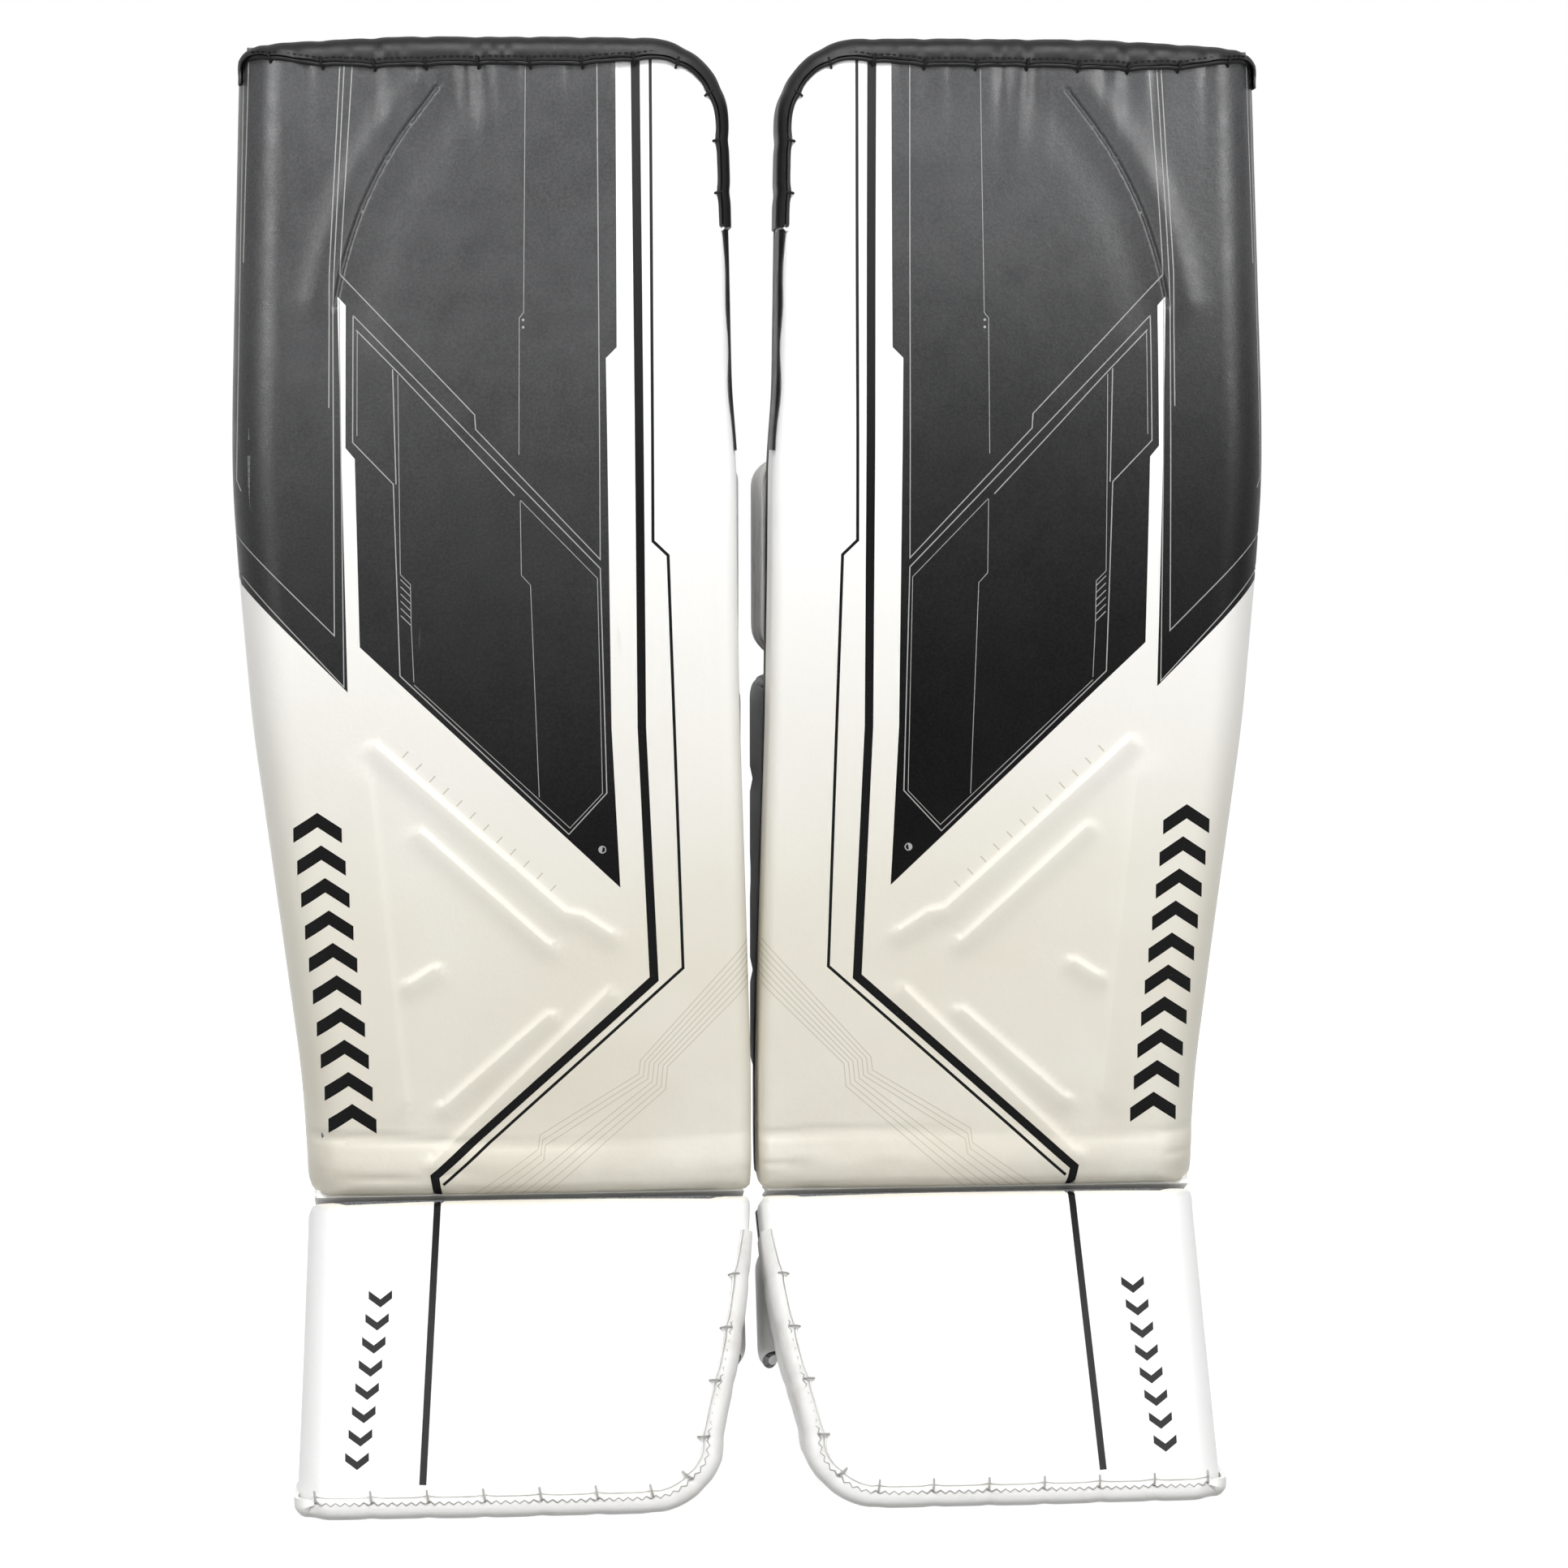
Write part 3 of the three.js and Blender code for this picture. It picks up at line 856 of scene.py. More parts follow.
def triangulated(outline, art, refine):
    """Triangles inside an outline that keep the art's edges, with each triangle's pick."""
    points, edges = [outline], []
    count = len(outline)
    for _, polygon in art:
        ahead = np.roll(polygon, -1, 0)
        loop = np.vstack([resampled([a, b], 5)[:-1] for a, b in zip(polygon, ahead)])
        points.append(loop)
        edges += [(count + i, count + (i + 1) % len(loop)) for i in range(len(loop))]
        count += len(loop)
    points.append(filler_points(outline, refine))
    places, faces = delaunay(np.vstack(points), edges, len(outline))
    centres = places[faces].mean(1)
    kept = inside(*centres.T, outline)
    used, numbers = np.unique(faces[kept], return_inverse=True)
    return places[used], numbers.reshape(-1, 3), picked(centres[kept], art)


def picked(places, art):
    """The material pick at each place."""
    picks = np.zeros(len(places), int)
    for pick, polygon in art:
        picks[inside(*places.T, np.asarray(polygon, float))] = pick
    return picks


def border_of(faces):
    """The ordered loop of vertices round a triangulated area."""
    ahead = {}
    pairs = {(a, b) for face in faces for a, b in zip(face, np.roll(face, -1))}
    for a, b in pairs:
        if (b, a) not in pairs:
            ahead[a] = b
    start = next(iter(sorted(ahead)))
    loop = [start]
    while ahead[loop[-1]] != start:
        loop.append(ahead[loop[-1]])
    return loop


def skin(side, name, outline, art, depth, place, materials, refine=()):
    """A padded section's skin: the printed face, its sides, and a hem turned in at the back."""
    seed = 0.0 if side == "left" else 1.9
    places, faces, picks = triangulated(outline, art, refine)

    def face_at(x, s):
        return place(x, s, depth(x, s, seed))

    x, s = places.T
    points = face_at(x, s)
    step = 0.3
    normals = np.cross(face_at(x + step, s) - face_at(x - step, s),
                       face_at(x, s + step) - face_at(x, s - step))

    loop = border_of(faces)
    rim = places[loop]
    out = -left_of(rim, closed=True)
    shallow = depth(*rim.T, seed)
    away = place(*(rim + out).T, shallow) - points[loop]
    normals[loop] = away
    nudged = rim - out * 0.3 + (np.roll(rim, -1, 0) - rim) / 2
    side_picks = picked(nudged, art)
    rows = [np.array(loop)]
    total = len(points)
    stack, stack_normals = [points], [normals]
    for share, inset in ((0.34, -0.7), (0.7, -0.6), (1, 0), (1, 9)):
        down = shallow + (RIM - shallow) * share
        stack.append(place(*(rim - out * inset).T, down))
        stack_normals.append(away if inset <= 0 else np.tile([0.0, 1.0, 0.0], (len(loop), 1)))
        rows.append(np.arange(total, total + len(loop)))
        total += len(loop)
    all_faces = [list(face) for face in faces]
    all_picks = list(picks)
    for upper, lower in zip(rows[:-1], rows[1:]):
        for i in range(len(loop)):
            j = (i + 1) % len(loop)
            all_faces.append([upper[i], lower[i], lower[j], upper[j]])
            all_picks.append(side_picks[i])
    normals = np.vstack(stack_normals)
    normals /= np.linalg.norm(normals, axis=1, keepdims=True)
    return new_object(name, side, np.vstack(stack), all_faces, materials, all_picks, normals)


def leg_outline():
    """The shin and thigh skin's outline, anticlockwise in (x, s)."""
    up = np.linspace(7, TOP - EDGE - 16, 60)
    down = np.linspace(TOP - EDGE - TOP_CORNER, 0, 60)
    foot = np.linspace(inner_edge(0.0) + 3, outer_edge(0.0) - 10, 30)
    corner_x = inner_edge(TOP - EDGE - TOP_CORNER) + TOP_CORNER
    across = np.linspace(270, corner_x + 4, 30)
    outer_top = outer_edge(TOP - 16)
    parts = [
        np.stack([foot, 0.8 * np.cos(foot / 43) - LIP], 1),
        arc(outer_edge(0.0) - 8.5, 7, 8.5, -80, -8, 5),
        np.stack([outer_edge(up), up], 1),
        arc(outer_top - 9, TOP - EDGE - 15, 9, 12, 80, 5),
        np.stack([across, top_edge(across)], 1),
        arc(corner_x, TOP - EDGE - TOP_CORNER, TOP_CORNER, 90, 180, 16),
        np.stack([inner_edge(down), down], 1),
    ]
    return resampled(np.vstack(parts), 3.0, closed=True)


def boot_outline():
    """The boot skin's outline, anticlockwise in (x, s)."""
    down = np.linspace(BOOT_TOP - 3, TOE_END + 45, 30)
    up = np.linspace(TOE_END + 8, BOOT_TOP - 3, 40)
    parts = [
        np.stack([inner_edge(down), down], 1),
        arc(TOE_CORNER_X, TOE_END + TOE_CORNER, TOE_CORNER, 198, 270, 14),
        [(150, TOE_END)],
        arc(outer_edge(TOE_END + 8.0) - 7, TOE_END + 7, 7, 270, 352, 5),
        np.stack([outer_edge(up), up], 1),
        [(outer_edge(0.0) - 3, BOOT_TOP), (inner_edge(0.0) + 3, BOOT_TOP)],
    ]
    return resampled(np.vstack(parts), 3.0, closed=True)


def leg_skin(side):
    """One printed skin over the shin and the thigh rise."""
    inks = [WHITE, BLACK[side], LINE_DARK, LINE_GREY, LINE_FAINT]
    body = skin(side, "leg_skin", leg_outline(), leg_art(), leg_depth, on_leg, inks,
                [*V_RIDGES, OUTER_PANEL, THIGH_ARC])
    finish_piece(body, side, "leg", ["shin_cover", "thigh_cover"])


def boot_skin(side):
    """The boot's own skin."""
    body = skin(side, "boot_skin", boot_outline(), boot_art(), boot_depth, on_boot,
                [WHITE, BLACK[side], LINE_DARK])
    finish_piece(body, side, "boot", ["boot_cover"])


# ---- bindings ----
BINDING = 2.2


def nearest(outline, x, s):
    """Which of the outline's points is nearest to (x, s)."""
    return np.argmin(np.hypot(*(outline - (x, s)).T))


def near_ties(run, first, pitch, width):
    """1 at each tie along a binding, 0 between them."""
    away = np.abs((run - first + pitch / 2) % pitch - pitch / 2)
    return np.exp(-(away / width) ** 2)


BACK_START, BACK_ROUND = 37, 8


def binding_ring(base, lip, round_edge, thick, back_lip):
    """A binding's section as (inset, d): the front lip, over the edge, to the back lip and back."""
    start = math.asin(np.clip((round_edge - lip) / round_edge, 0, 0.97))
    skin = base + round_edge * (1 - math.cos(start))
    outer = [(lip + 0.2, skin - 0.1), (lip - 0.3, skin - thick * 0.7)]
    flat = max(lip - round_edge, 0.2)
    outer.append((lip - 0.5 - flat * 0.4, skin - thick * 1.1))
    reach = round_edge + thick
    for angle in np.linspace(start + 0.12, math.pi / 2, 8):
        outer.append((round_edge - reach * math.sin(angle), base + round_edge - reach * math.cos(angle)))
    outer.append((-thick, BACK_START - 1))
    reach = BACK_ROUND + thick
    for angle in np.radians(np.linspace(20, 90, 5)):
        outer.append((BACK_ROUND - reach * math.cos(angle), BACK_START + reach * math.sin(angle)))
    outer.append((back_lip, BACK_START + reach))
    inner = [(back_lip, 45.4), (4, 45.2), (0.25, 40), (0.25, base + round_edge)]
    for angle in np.linspace(math.pi / 2, start, 5)[1:]:
        inner.append((round_edge * (1 - math.sin(angle)) + 0.2,
                      base + round_edge * (1 - math.cos(angle)) + 0.2))
    return outer + inner


class Binding:
    """A strip wrapped over a section's edge along `path`, with its lip, ties and piping."""

    def __init__(self, path, lips, depth, round_edge, tie_first, tie_pitch, thick=BINDING):
        self.path = np.asarray(path, float)
        self.out = -left_of(self.path)
        self.run = edge_length(self.path)
        self.tie = near_ties(self.run, tie_first, tie_pitch, 4)
        self.tie_places = np.arange(tie_first, self.run[-1] - 4, tie_pitch)
        self.lips = lips + 0.7 * self.tie
        self.depth = depth
        self.round_edge = round_edge
        self.thick = thick * (1 - 0.22 * self.tie) * (1 + 0.05 * np.sin(self.run / 13.3))

    def base(self, inset):
        """The skin's depth along the binding at an inset from the edge."""
        at = self.path - self.out * np.broadcast_to(inset, len(self.path))[:, None]
        return self.depth(*at.T)

    def body(self):
        """The strip itself, as (points, faces)."""
        base = self.base(np.maximum(self.lips, self.round_edge + 1))
        rings = []
        for k, (x, s) in enumerate(self.path):
            ring = binding_ring(base[k], self.lips[k], self.round_edge, self.thick[k], 9)
            for inset, d in ring:
                rings.append((x - self.out[k, 0] * inset, s - self.out[k, 1] * inset, d))
        return np.array(rings), loft_faces(len(self.path), len(ring))

    def line(self, inset, proud):
        """Points along the binding at an inset from the edge, `proud` of the skin there."""
        at = self.path - self.out * np.broadcast_to(inset, len(self.path))[:, None]
        return at_depth(at, self.depth(*at.T) - proud)

    def part(self, points, start, end):
        """The stretch of a line between two distances along the edge."""
        return points[(self.run >= start) & (self.run <= end)]

    def laces(self, shape, pick, radius=0.75):
        """Short ties that cross the piping from the skin up on to the lip."""
        steps = ((3.6, -0.8), (3.0, 0.9), (0.6, 2.9), (-1.8, 3.0), (-3.0, 1.2))
        for place in self.tie_places:
            at, out = along(place, self.run, self.path), along(place, self.run, self.out)
            lip = np.interp(place, self.run, self.lips)
            lean = np.array([-out[1], out[0]]) * 0.8
            line = []
            for away, proud in steps:
                x, s = at - out * (lip + away) + lean * away / 4
                line.append((x, s, float(self.depth(x, s)) - proud))
            shape.add(*tube(smooth(line, 9), radius, 7), pick)


def top_binding(side):
    """Black leather rolled over the top edge and down the inner corner, with its corded seam."""
    outline = leg_outline()
    start = nearest(outline, outer_edge(TOP - 28), TOP - 28)
    end = nearest(outline, inner_edge(540), 540)
    path = resampled(outline[start:end + 1], 2.0)
    run = edge_length(path)
    total = run[-1]
    lips = eased(run, [0, 14, 34, 52, 90, 150, total - 165, total - 130, total - 95, total - 55, total],
                 [0.6, 1.5, 5, 9.5, 12.5, 11.5, 11.5, 9, 5, 3, 2.6], 6)
    bind = Binding(path, lips, leg_depth, 7.5, 30, TIE_PITCH, 2.4)
    bind.thick *= np.clip(run / 26, 0.15, 1)
    body = Shape().add(*bind.body())
    obj = body.make("top_binding", side, on_leg, BINDING_BLACK)
    finish_piece(obj, side, "thigh", ["top_binding"])

    seam = Shape()
    seam.add(*tube(resampled(bind.line(bind.lips + 1.0, 0.9), 2), 1.15, 8), 0)
    bind.laces(seam, 1)
    stitched = bind.part(bind.line(bind.lips - 2.4, bind.thick * 1.12), 20, total - 6)
    stitches(seam, stitched, 1, 3.6, 2.5, 0.5)
    obj = seam.make("top_binding_seam", side, on_leg, PIPING_BLACK, THREAD_BLACK)
    finish_piece(obj, side, "thigh")

    rivet = Shape()
    x, s = path[-1] + bind.out[-1] * -3.4
    rings = [(x + r * math.cos(a), s + r * math.sin(a), leg_depth(x, s) - h)
             for r, h in ((2.5, 0.1), (2.4, 0.8), (1.6, 1.5), (0.5, 1.7))
             for a in np.linspace(0, 2 * math.pi, 14, endpoint=False)]
    rivet.add(rings, loft_faces(4, 14))
    finish_piece(rivet.make("binding_rivet", side, on_leg, RIVET), side, "thigh")


def inner_edge_trim(side):
    """The black edge strip that runs on below the binding, from its rivet to the knee."""
    s = np.linspace(538, 416, 50)
    path = np.stack([inner_edge(s), s], 1)
    lips = eased(s, [416, 430, 480, 538], [0.4, 0.9, 0.7, 2.2], 5) + 0.4 * np.sin(s / 7)
    bind = Binding(path, lips, leg_depth, 7.5, 900, 999, 0.8)
    obj = Shape().add(*bind.body()).make("inner_edge_trim", side, on_leg, BINDING_BLACK)
    finish_piece(obj, side, "leg")


def boot_binding(side):
    """White leather bound round the toe and up the inner side, with its zigzag seam and ties."""
    outline = boot_outline()
    outline = np.roll(outline, -nearest(outline, inner_edge(-24), -24), 0)
    low = outline[:, 1].min() + 12
    path = resampled(outline[:nearest(outline, outer_edge(low), low) + 1], 2.0)
    run = edge_length(path)
    total = run[-1]
    lips = eased(run, [0, 30, 120, 160, total - 20, total], [3, 6, 9, 11, 11, 10], 8)
    bind = Binding(path, lips, boot_depth, 7, 26, 31, 2.2)
    obj = Shape().add(*bind.body()).make("boot_binding", side, on_boot, BINDING_WHITE)
    finish_piece(obj, side, "boot", ["boot_binding"])

    seam = Shape()
    line = bind.line(bind.lips + 0.9, 0.5)
    seam.add(*tube(line, 0.55, 8), 0)
    bind.laces(seam, 1, 0.55)
    zig = zigzag(bind.line(bind.lips - 2.4, 0)[:, :2], 2.6, 1.7)
    zig = at_depth(zig, boot_depth(*zig.T) - BINDING * 1.12)
    seam.add(*tube(zig, 0.34, 6), 1)
    obj = seam.make("boot_binding_seam", side, on_boot, BINDING_WHITE, THREAD_GREY)
    finish_piece(obj, side, "boot")


# ---- backs ----
PARTS = {"leg": (leg_outline(), on_leg), "boot": (boot_outline(), on_boot)}


PANEL_GRID = 6


def back_panel(outline, front, back):
    """A panel inside an outline, as (points, faces). `back` gives its back's depth at (x, s)."""
    coarse = resampled(outline, PANEL_GRID, closed=True)
    coarse = coarse + left_of(coarse, closed=True) * 0.8
    grid = grid_inside(coarse, PANEL_GRID, PANEL_GRID * 0.6)
    places, faces = delaunay(np.vstack([coarse, grid]), [], len(coarse))
    loop = border_of(faces)
    count = len(places)
    points = np.vstack([at_depth(places, front), at_depth(places, back(*places.T))])
    total = [*faces.tolist(), *(count + faces[:, ::-1]).tolist()]
    for a, b in zip(loop, loop[1:] + loop[:1]):
        total.append([b, a, count + a, count + b])
    return points, total


LINER_BACK = 45.1
QUILT_PITCH = 46


def quilted(x, s):
    """The back liner's surface: diamonds sewn through a thin wadding."""
    near = np.minimum(*[np.abs(line % QUILT_PITCH - QUILT_PITCH / 2) for line in (x + s, x - s)])
    return LINER_BACK - 1.7 * np.exp(-(near / 3) ** 2)


def back_liners(side):
    """The quilted backs of the leg and of the boot."""
    nodes = {"leg": ["shin_back_liner", "thigh_back_liner"], "boot": ["boot_back_liner"]}
    for part, (outline, place) in PARTS.items():
        shape = Shape().add(*back_panel(outline, RIM + 0.4, quilted))
        obj = shape.make(f"{part}_back_liner", side, place, LINER)
        finish_piece(obj, side, part, nodes[part])


TAPE_BACK = 46.3
TAPE_SECTION = [(-0.9, 36), (-1.1, 42), (-0.6, 45.4), (1.2, TAPE_BACK), (9.5, 46.1), (10, 45.3),
                (1.2, 45.2), (0.1, 44), (0.1, 36)]


def back_tape(side):
    """Tape sewn round the back edges, over the join between the skins and the liners."""
    for part, (outline, place) in PARTS.items():
        path = resampled(outline, 5, closed=True)
        out = -left_of(path, closed=True)
        rings = [at_depth(path - out * inset, d) for inset, d in TAPE_SECTION]
        faces = loft_faces(len(path), len(rings), joined_up=True)
        shape = Shape().add(np.stack(rings, 1).reshape(-1, 3), faces)
        stitches(shape, at_depth(looped(path - out * 7.5), TAPE_BACK), 1, 5, 3.4)
        obj = shape.make(f"{part}_back_tape", side, place, BINDING_BLACK, THREAD_BLACK)
        finish_piece(obj, side, part)


def boot_gusset(side):
    """A pleated strip behind the boot break, fanned over the angle of the boot's kick."""
    x_low, x_high = inner_edge(0.0) + 3.5, outer_edge(0.0) - 3.5
    rings = []
    depths = np.array([9, 22, 34, 43.5])
    pleats = np.linspace(0, 1, 9)
    for pleat in pleats:
        angle = KICK * pleat
        tuck = 1.6 * (1 - math.cos(pleat * 4 * 2 * math.pi)) / 2
        plan = [(x_low + tuck, d) for d in depths[:-1]]
        plan += [(x, depths[-1] - tuck) for x in np.linspace(x_low + tuck, x_high - tuck, 12)]
        plan += [(x_high - tuck, d) for d in depths[:-1][::-1]]
        rings += [(x, FACE_Y + d * math.cos(angle), BREAK_Z - d * math.sin(angle))
                  for x, d in plan]
        count = len(plan)
    faces = loft_faces(len(pleats), count)
    shape = Shape().add(rings, faces)
    across = range(len(depths) - 1, count - len(depths))
    shape.picks = [int(len(face) == 4 and face[0] % count in across) for face in faces]
    obj = shape.make("boot_gusset", side, lambda x, y, z: np.stack([x, y, z], -1),
                     WHITE_PLAIN, LINER)
    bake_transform(obj)


# ---- cushions ----
def rounded_box(x0, x1, s0, s1, radius):
    """A rectangle's outline with round corners, anticlockwise in (x, s)."""
    corners = [(x1 - radius, s0 + radius, -90), (x1 - radius, s1 - radius, 0),
               (x0 + radius, s1 - radius, 90), (x0 + radius, s0 + radius, 180)]
    return np.vstack([arc(x, s, radius, turn, turn + 90, 7) for x, s, turn in corners])


def pillow(outline, front, back, slack):
    """A cushion's shape before it is filled: drawn in by `slack`, with its edges cut square."""
    steps = left_of(outline, closed=True)
    flat = slack * 0.6
    rows = [(front + flat, slack + 5), (front + flat + 1.2, slack + 0.8),
            (back - flat - 1.2, slack + 0.8), (back - flat, slack + 5)]
    rings = [at_depth(outline + steps * inset, d) for d, inset in rows]
    return np.vstack(rings), loft_faces(len(rows), len(outline))


CLOTH_STEPS = 18


def filled(points, faces, cap):
    """Cloth simulation: the cushion swells under pressure, and no point moves more than `cap`."""
    mesh = bpy.data.meshes.new("fill")
    mesh.from_pydata((np.asarray(points) * MM).tolist(), [], [tuple(face) for face in faces])
    obj = bpy.data.objects.new("fill", mesh)
    bpy.context.collection.objects.link(obj)
    remesh = obj.modifiers.new("remesh", "REMESH")
    remesh.mode = "VOXEL"
    remesh.voxel_size = 0.0042
    start = evaluated(obj)
    cloth = obj.modifiers.new("cloth", "CLOTH").settings
    cloth.quality = 5
    cloth.mass = 0.2
    cloth.tension_stiffness = cloth.compression_stiffness = 12
    cloth.use_pressure = True
    cloth.uniform_pressure_force = 4
    cloth.effector_weights.gravity = 0
    for step in range(1, CLOTH_STEPS + 1):
        bpy.context.scene.frame_set(step)
    moved = evaluated(obj)[0] - start[0]
    bpy.context.scene.frame_set(1)
    far = np.linalg.norm(moved, axis=1, keepdims=True)
    moved *= np.minimum(1, cap / np.maximum(far, 1e-6))
    bpy.data.objects.remove(obj)
    bpy.data.meshes.remove(mesh)
    return start[0] + moved, start[1]


def evaluated(obj):
    """An object's points in millimetres, and its faces, with its modifiers worked out."""
    graph = bpy.context.evaluated_depsgraph_get()
    graph.update()
    mesh = obj.evaluated_get(graph).to_mesh()
    points = np.empty(len(mesh.vertices) * 3)
    mesh.vertices.foreach_get("co", points)
    faces = [list(face.vertices) for face in mesh.polygons]
    return points.reshape(-1, 3) / MM, faces


def make_filled(name, body, material, outline, front, back, place, channels=(), cap=3.0,
                piping=None):
    """The same cushion on both pads: filled once, then channelled, piped and mirrored."""
    points, faces = filled(*pillow(outline, front, back, cap), cap)
    middle = (front + back) / 2
    for path in channels:
        press = 3.2 * np.exp(-(distance(*points[:, :2].T, path) / 3.0) ** 2)
        points[:, 2] -= press * np.clip((points[:, 2] - middle) / (back - middle), 0, 1)
    points[:, 2] = np.clip(points[:, 2], front, back)
    for side in SIDES:
        shape = Shape().add(points, faces)
        obj = shape.make(name, side, place, material)
        subdivide(obj)
        finish_piece(obj, side, body, [name])
        if piping:
            cord = Shape()
            path = resampled(outline + left_of(outline, closed=True) * 3.6, 3, closed=True)
            for d in (front + 4.4, back - 2.8):
                cord.add(*tube(at_depth(path, d), 1.3, 8, True))
            finish_piece(cord.make(f"{name}_piping", side, place, piping), side, body)


def subdivide(obj):
    """One level of subdivision, applied."""
    modifier = obj.modifiers.new("smooth", "SUBSURF")
    modifier.levels = modifier.render_levels = 1
    graph = bpy.context.evaluated_depsgraph_get()
    mesh = bpy.data.meshes.new_from_object(obj.evaluated_get(graph))
    obj.modifiers.clear()
    obj.data = mesh
    mesh.shade_smooth()


def cushions():
    """What the leg, the knee and the skate's toe rest on, and the knee stack."""
    back = LINER_BACK + 0.2
    leg = rounded_box(96, 204, 28, 262, 18)
    across = [[(90, s), (210, s)] for s in (86, 145, 204)]
    make_filled("leg_cradle", "shin", LINER, leg, back + 0.3, back + 14, on_leg, across)
    knee = rounded_box(98, 208, 296, 408, 18)
    cross = [[(153, 300), (153, 404)], [(102, 352), (204, 352)]]
    make_filled("knee_cradle", "shin", GREY_NAP, knee, back + 0.3, back + 12, on_leg, cross)
    toe = rounded_box(84, 176, -150, -118, 8)
    make_filled("toe_bridge", "boot", LINER, toe, back + 0.3, back + 18, on_boot, cap=2.5)
    stack = (("base", (4, 90, 298, 412, 14), 0, 22), ("middle", (3, 88, 294, 412, 16), 22.3, 44),
             ("outer", (2.5, 84, 290, 412, 20), 44.3, 64))
    for name, box, low, high in stack:
        make_filled(f"knee_block_{name}", "knee_block", WHITE_PLAIN, rounded_box(*box),
                    back + low, back + high, on_leg, piping=BINDING_WHITE)


# ---- wings and straps ----
def on_edge(route, share, s0, s1):
    """A sheet on edge along a route in (x, d): its grid of points from s0 to s1, and its normals."""
    middle = np.empty((len(share), len(route), 3))
    middle[..., 0], middle[..., 2] = route.T
    middle[..., 1] = s0 + share[:, None] * (s1 - s0)
    normal = np.zeros_like(middle)
    normal[..., 0], normal[..., 2] = left_of(route).T
    return middle, normal


def end_round(run, length, depth):
    """How far a sheet's edges draw in towards its free end."""
    end = np.clip((run - run[-1] + length) / length, 0, 1)
    return depth * (1 - np.sqrt(1 - end ** 2 * 0.98))


def wing(side, name, body, material, route, thick, s0, s1, place, corner, channels=()):
    """A padded wing on edge: its route in (x, d), between s0 and s1, round at its free end."""
    route = smooth(route, 34)
    run = edge_length(route)
    shorten = end_round(run, corner, corner)
    share = 0.5 - 0.5 * np.cos(np.linspace(0, 1, 40) * math.pi)
    middle, normal = on_edge(route, share, s0 + shorten, s1 - shorten)
    from_s = np.minimum(middle[..., 1] - s0 - shorten, s1 - shorten - middle[..., 1])
    from_end = np.minimum(run + 3, run[-1] - run)[None, :]
    edge = np.clip(np.minimum(from_s, from_end) / (thick * 0.9), 0, 1)
    half = thick / 2 * (0.34 + 0.66 * np.sqrt(1 - (1 - edge) ** 2))
    for level in channels:
        half = half - thick * 0.17 * np.exp(-((middle[..., 1] - level) / 3.5) ** 2)
    shape = Shape().add(*slab(middle, normal, half))
    border = np.vstack([middle[0], middle[1:, -1], middle[-1, ::-1][1:]])
    shape.add(*tube(resampled(border, 3), thick * 0.2, 8), 1)
    obj = shape.make(name, side, place, material, BINDING_BLACK)
    finish_piece(obj, side, body, [name])


STRAP_STITCH = 3.4, 2.5, 0.4  # pitch, length and radius


def strap(side, name, body, route, s0, s1, place, thick=2.4, patch=0.45, box=22):
    """A webbing strap: its route in (x, d), with a hook-and-loop patch and box stitching."""
    columns, rows = 60, 9
    route = smooth(route, columns)
    run = edge_length(route)
    share = np.linspace(0, 1, rows)
    shorten = end_round(run, 9, 8)
    middle, normal = on_edge(route, share, s0 + shorten, s1 - shorten)
    half = thick / 2 * (1 - 0.35 * (np.abs(share - 0.5) * 2)[:, None] ** 6)
    shape = Shape().add(*slab(middle, normal, half))
    outward = left_of(route)
    outward *= np.sign(outward[columns // 2, 1])
    proud = normal * np.sign(normal[0, columns // 2, 2]) * (thick / 2 + 0.45)
    patched = slice(1, rows - 1), slice(int(columns * (1 - patch)), columns - 4)
    shape.add(*slab((middle + proud)[patched], normal[patched], 0.7), 1)
    stop = np.argmin(np.abs(run - box))
    corners = [(2, s0 + 4), (stop, s0 + 4), (stop, s1 - 4), (2, s1 - 4)]
    steps = np.linspace(0, 1, 8)
    for a, b in ((0, 1), (1, 2), (2, 3), (3, 0), (0, 2), (1, 3)):
        (column_a, s_a), (column_b, s_b) = corners[a], corners[b]
        x, d = along(column_a + (column_b - column_a) * steps, range(columns),
                     route + outward * (thick / 2 + 0.2)).T
        stitches(shape, np.column_stack([x, s_a + (s_b - s_a) * steps, d]), 2, *STRAP_STITCH)
    obj = shape.make(name, side, place, WEBBING, HOOKS, THREAD_WHITE)
    finish_piece(obj, side, body, [name])


def strap_tab(side, name, body, route, s0, s1, place):
    """The webbing that joins a strap to its wing: sewn along the wing, free at the strap's hinge."""
    middle, normal = on_edge(smooth(route, 18), np.linspace(0, 1, 5), s0, s1)
    shape = Shape().add(*slab(middle, normal, 0.8))
    for column in (1, 5):
        x, _, d = (middle - normal * 0.9)[0, column]
        line = [(x, s, d) for s in (s0 + 2.5, (s0 + s1) / 2, s1 - 2.5)]
        stitches(shape, np.array(line), 1, *STRAP_STITCH)
    obj = shape.make(name, side, place, WEBBING, THREAD_WHITE)
    finish_piece(obj, side, body)


def on_toe(x, s, d):
    """A point of the toe loop, which lies level from a place on the boot's back."""
    boot_s, boot_d = -134, 72.3
    y = FACE_Y + boot_d * math.cos(KICK) + boot_s * math.sin(KICK)
    z = BREAK_Z - boot_d * math.sin(KICK) + boot_s * math.cos(KICK)
    return np.stack([x, y + d, z + s], -1)


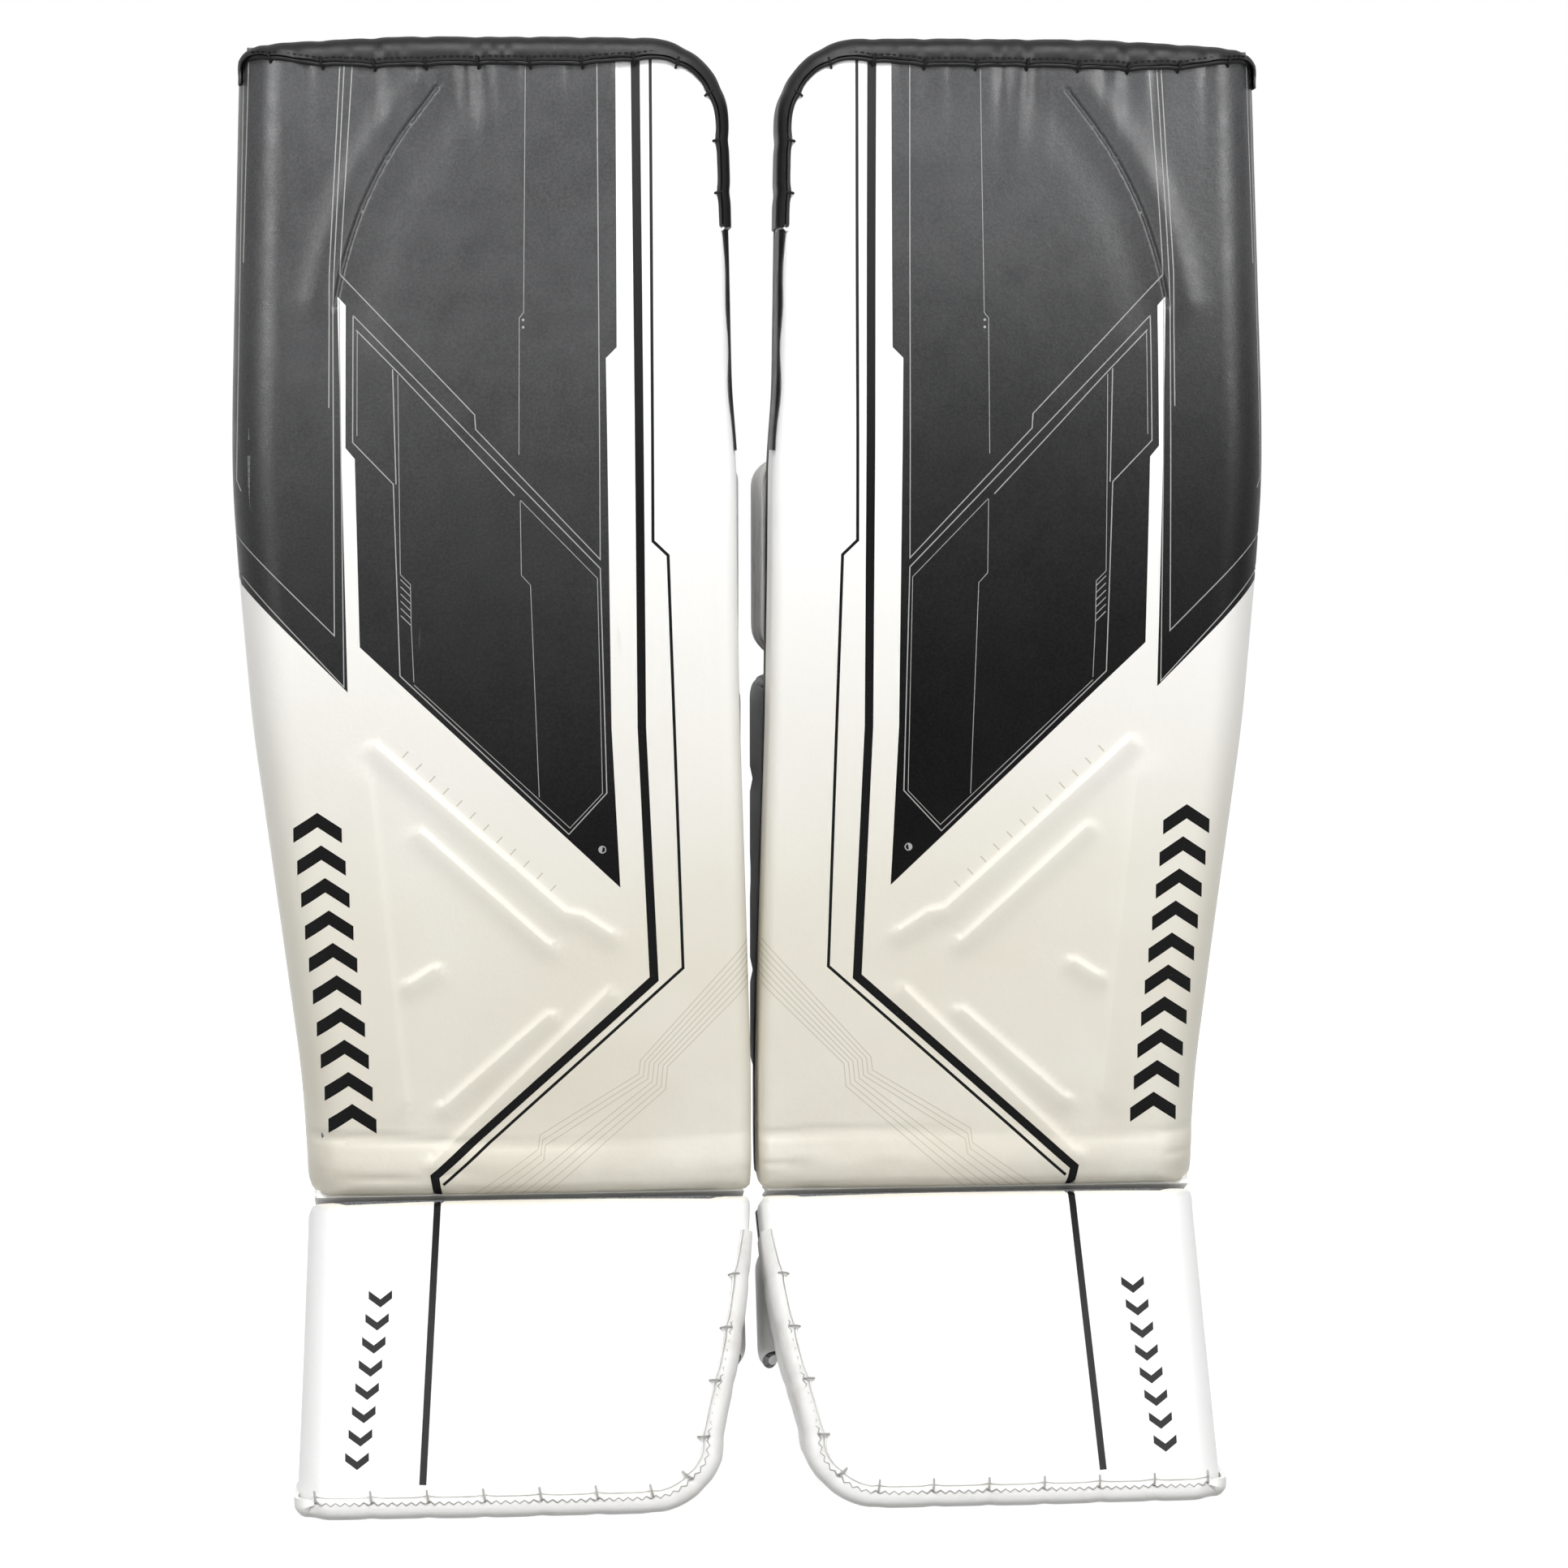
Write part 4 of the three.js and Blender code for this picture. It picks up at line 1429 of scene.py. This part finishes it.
def wings_and_straps(side):
    """Everything on the back that wraps round the leg, and the loop round the skate's toe."""
    wing(side, "outer_knee_wing", "outer_knee_wing", WHITE_PLAIN,
         [(226, 51), (234, 72), (238, 104), (228, 134)], 11, 300, 406, on_leg, 26, (353,))
    for name, route in (("inner_calf_wing", [(26, 50), (12, 56), (8, 90), (14, 126), (30, 146)]),
                        ("outer_calf_wing", [(216, 51), (226, 66), (228, 104), (216, 136), (198, 148)])):
        wing(side, name, name, GREY_NAP, route, 10, 52, 278, on_leg, 24, (108, 165, 222))
    for name, route, low in (("inner_boot_wing", [(22, 50), (10, 60), (9, 92), (18, 118)], -84),
                             ("outer_boot_wing", [(216, 50), (226, 64), (227, 92), (218, 118)], -112)):
        wing(side, name, "boot", WHITE_PLAIN, route, 9, low, -24, on_boot, 20)
    strap(side, "knee_strap", "knee_strap",
          [(228, 145), (200, 150), (130, 150), (60, 146), (14, 134)], 340, 382, on_leg)
    calf = [(202, 158), (150, 163), (80, 162), (24, 153)]
    strap(side, "upper_calf_strap", "upper_calf_strap", calf, 222, 260, on_leg)
    strap(side, "lower_calf_strap", "lower_calf_strap", calf, 82, 120, on_leg)
    strap(side, "ankle_strap", "ankle_strap", [(218, 128), (150, 136), (80, 135), (28, 127)],
          -74, -40, on_boot)
    strap_tab(side, "knee_strap_tab", "outer_knee_wing",
              [(244.6, 86), (244.6, 105), (241.6, 122), (235.5, 137), (228, 145)], 343, 379, on_leg)
    calf = [(233.6, 92), (233.8, 106), (229.5, 124), (222, 140), (212, 150.5), (202, 158)]
    strap_tab(side, "upper_calf_strap_tab", "outer_calf_wing", calf, 225, 257, on_leg)
    strap_tab(side, "lower_calf_strap_tab", "outer_calf_wing", calf, 85, 117, on_leg)
    strap_tab(side, "ankle_strap_tab", "boot",
              [(231.6, 80), (232.4, 92), (229, 108), (222.5, 121), (218, 128)], -71, -43, on_boot)
    strap(side, "toe_strap", "toe_strap",
          [(94, 0), (94, 45), (106, 66), (130, 74), (154, 66), (166, 45), (166, 0)], -8, 8, on_toe,
          patch=0.2, box=14)


# ---- the whole pad ----
def make_pad(side):
    """One pad's pieces, without its cushions."""
    leg_skin(side)
    boot_skin(side)
    top_binding(side)
    inner_edge_trim(side)
    boot_binding(side)
    back_liners(side)
    back_tape(side)
    boot_gusset(side)
    wings_and_straps(side)


for pad_side in SIDES:
    make_pad(pad_side)
cushions()


# ---- CAD nodes that stay, with their own finishes ----
KEPT = {
    "thigh_foam": FOAM, "shin_front_foam": FOAM, "shin_rear_foam": FOAM, "boot_foam": FOAM,
    "thigh_stiffener": SHEET, "shin_stiffener": SHEET,
}
for node_name, node_object in frame["nodes"].items():
    part = node_name.split("_", 1)[1]
    chosen = KEPT.get(part, LINER)
    for place_index in range(len(node_object.material_slots)):
        node_object.material_slots[place_index].material = chosen


# ---- floor, light and camera ----
FRONT_SKY = 0.22  # strength of the light from behind the camera


def studio():
    """A white room that is dimmer behind the camera, lit from above and from both sides."""
    scene = bpy.context.scene
    scene.view_settings.view_transform = "Standard"
    sky = Graph("studio", bpy.data.worlds, "Background", "Generated")
    seen = sky.node("ShaderNodeLightPath").outputs["Is Camera Ray"]
    spread = sky.span(sky.axis("Y"), -0.1, 0.5, FRONT_SKY, 1.0)
    sky.set(Color=(1, 1, 1, 1), Strength=sky.math("MAXIMUM", spread, seen))
    scene.world = sky.made

    g = Graph("floor")
    g.set(Base_Color=g.mix(g.noise(3, 2), (0.46, 0.46, 0.46, 1), (0.48, 0.48, 0.48, 1)), Roughness=1.0,
          Specular_IOR_Level=0.0, Emission_Color=(1, 1, 1, 1), Emission_Strength=0.8)
    bpy.ops.mesh.primitive_plane_add(size=14, location=(0, 0, -0.001))
    floor = bpy.context.object
    floor.name = "floor"
    floor.data.materials.append(g.made)
    floor.visible_diffuse = False

    def lamp(name, place, target, size, power, gloss_only=False):
        data = bpy.data.lights.new(name, "AREA")
        data.shape = "RECTANGLE"
        data.size, data.size_y = size
        data.energy = power
        obj = bpy.data.objects.new(name, data)
        obj.location = place
        obj.rotation_euler = (Vector(target) - Vector(place)).to_track_quat("-Z", "Y").to_euler()
        obj.visible_diffuse = not gloss_only
        bpy.context.collection.objects.link(obj)

    lamp("overhead", (0, -1.3, 2.3), (0, 0, 0.45), (1.8, 0.8), 55)
    for name, across in (("left", -1.7), ("right", 1.7)):
        lamp(f"side_{name}", (across, -2.1, 1.0), (0, 0, 0.5), (0.14, 1.3), 16)
        lamp(f"sheen_{name}", (across, -2.1, 1.5), (0, 0, 0.6), (0.4, 0.7), 44, gloss_only=True)

    azimuth, elevation, away = math.radians(4.5), math.radians(6.9), 2.3
    target = Vector((0.0176, 0, 0.395))
    toward = Vector((math.sin(azimuth) * math.cos(elevation), math.cos(azimuth) * math.cos(elevation),
                     -math.sin(elevation)))
    camera = bpy.data.cameras.new("camera")
    camera.lens = 93.4
    obj = bpy.data.objects.new("camera", camera)
    obj.location = target - toward * away
    obj.rotation_euler = toward.to_track_quat("-Z", "Y").to_euler()
    bpy.context.collection.objects.link(obj)
    scene.camera = obj


studio()
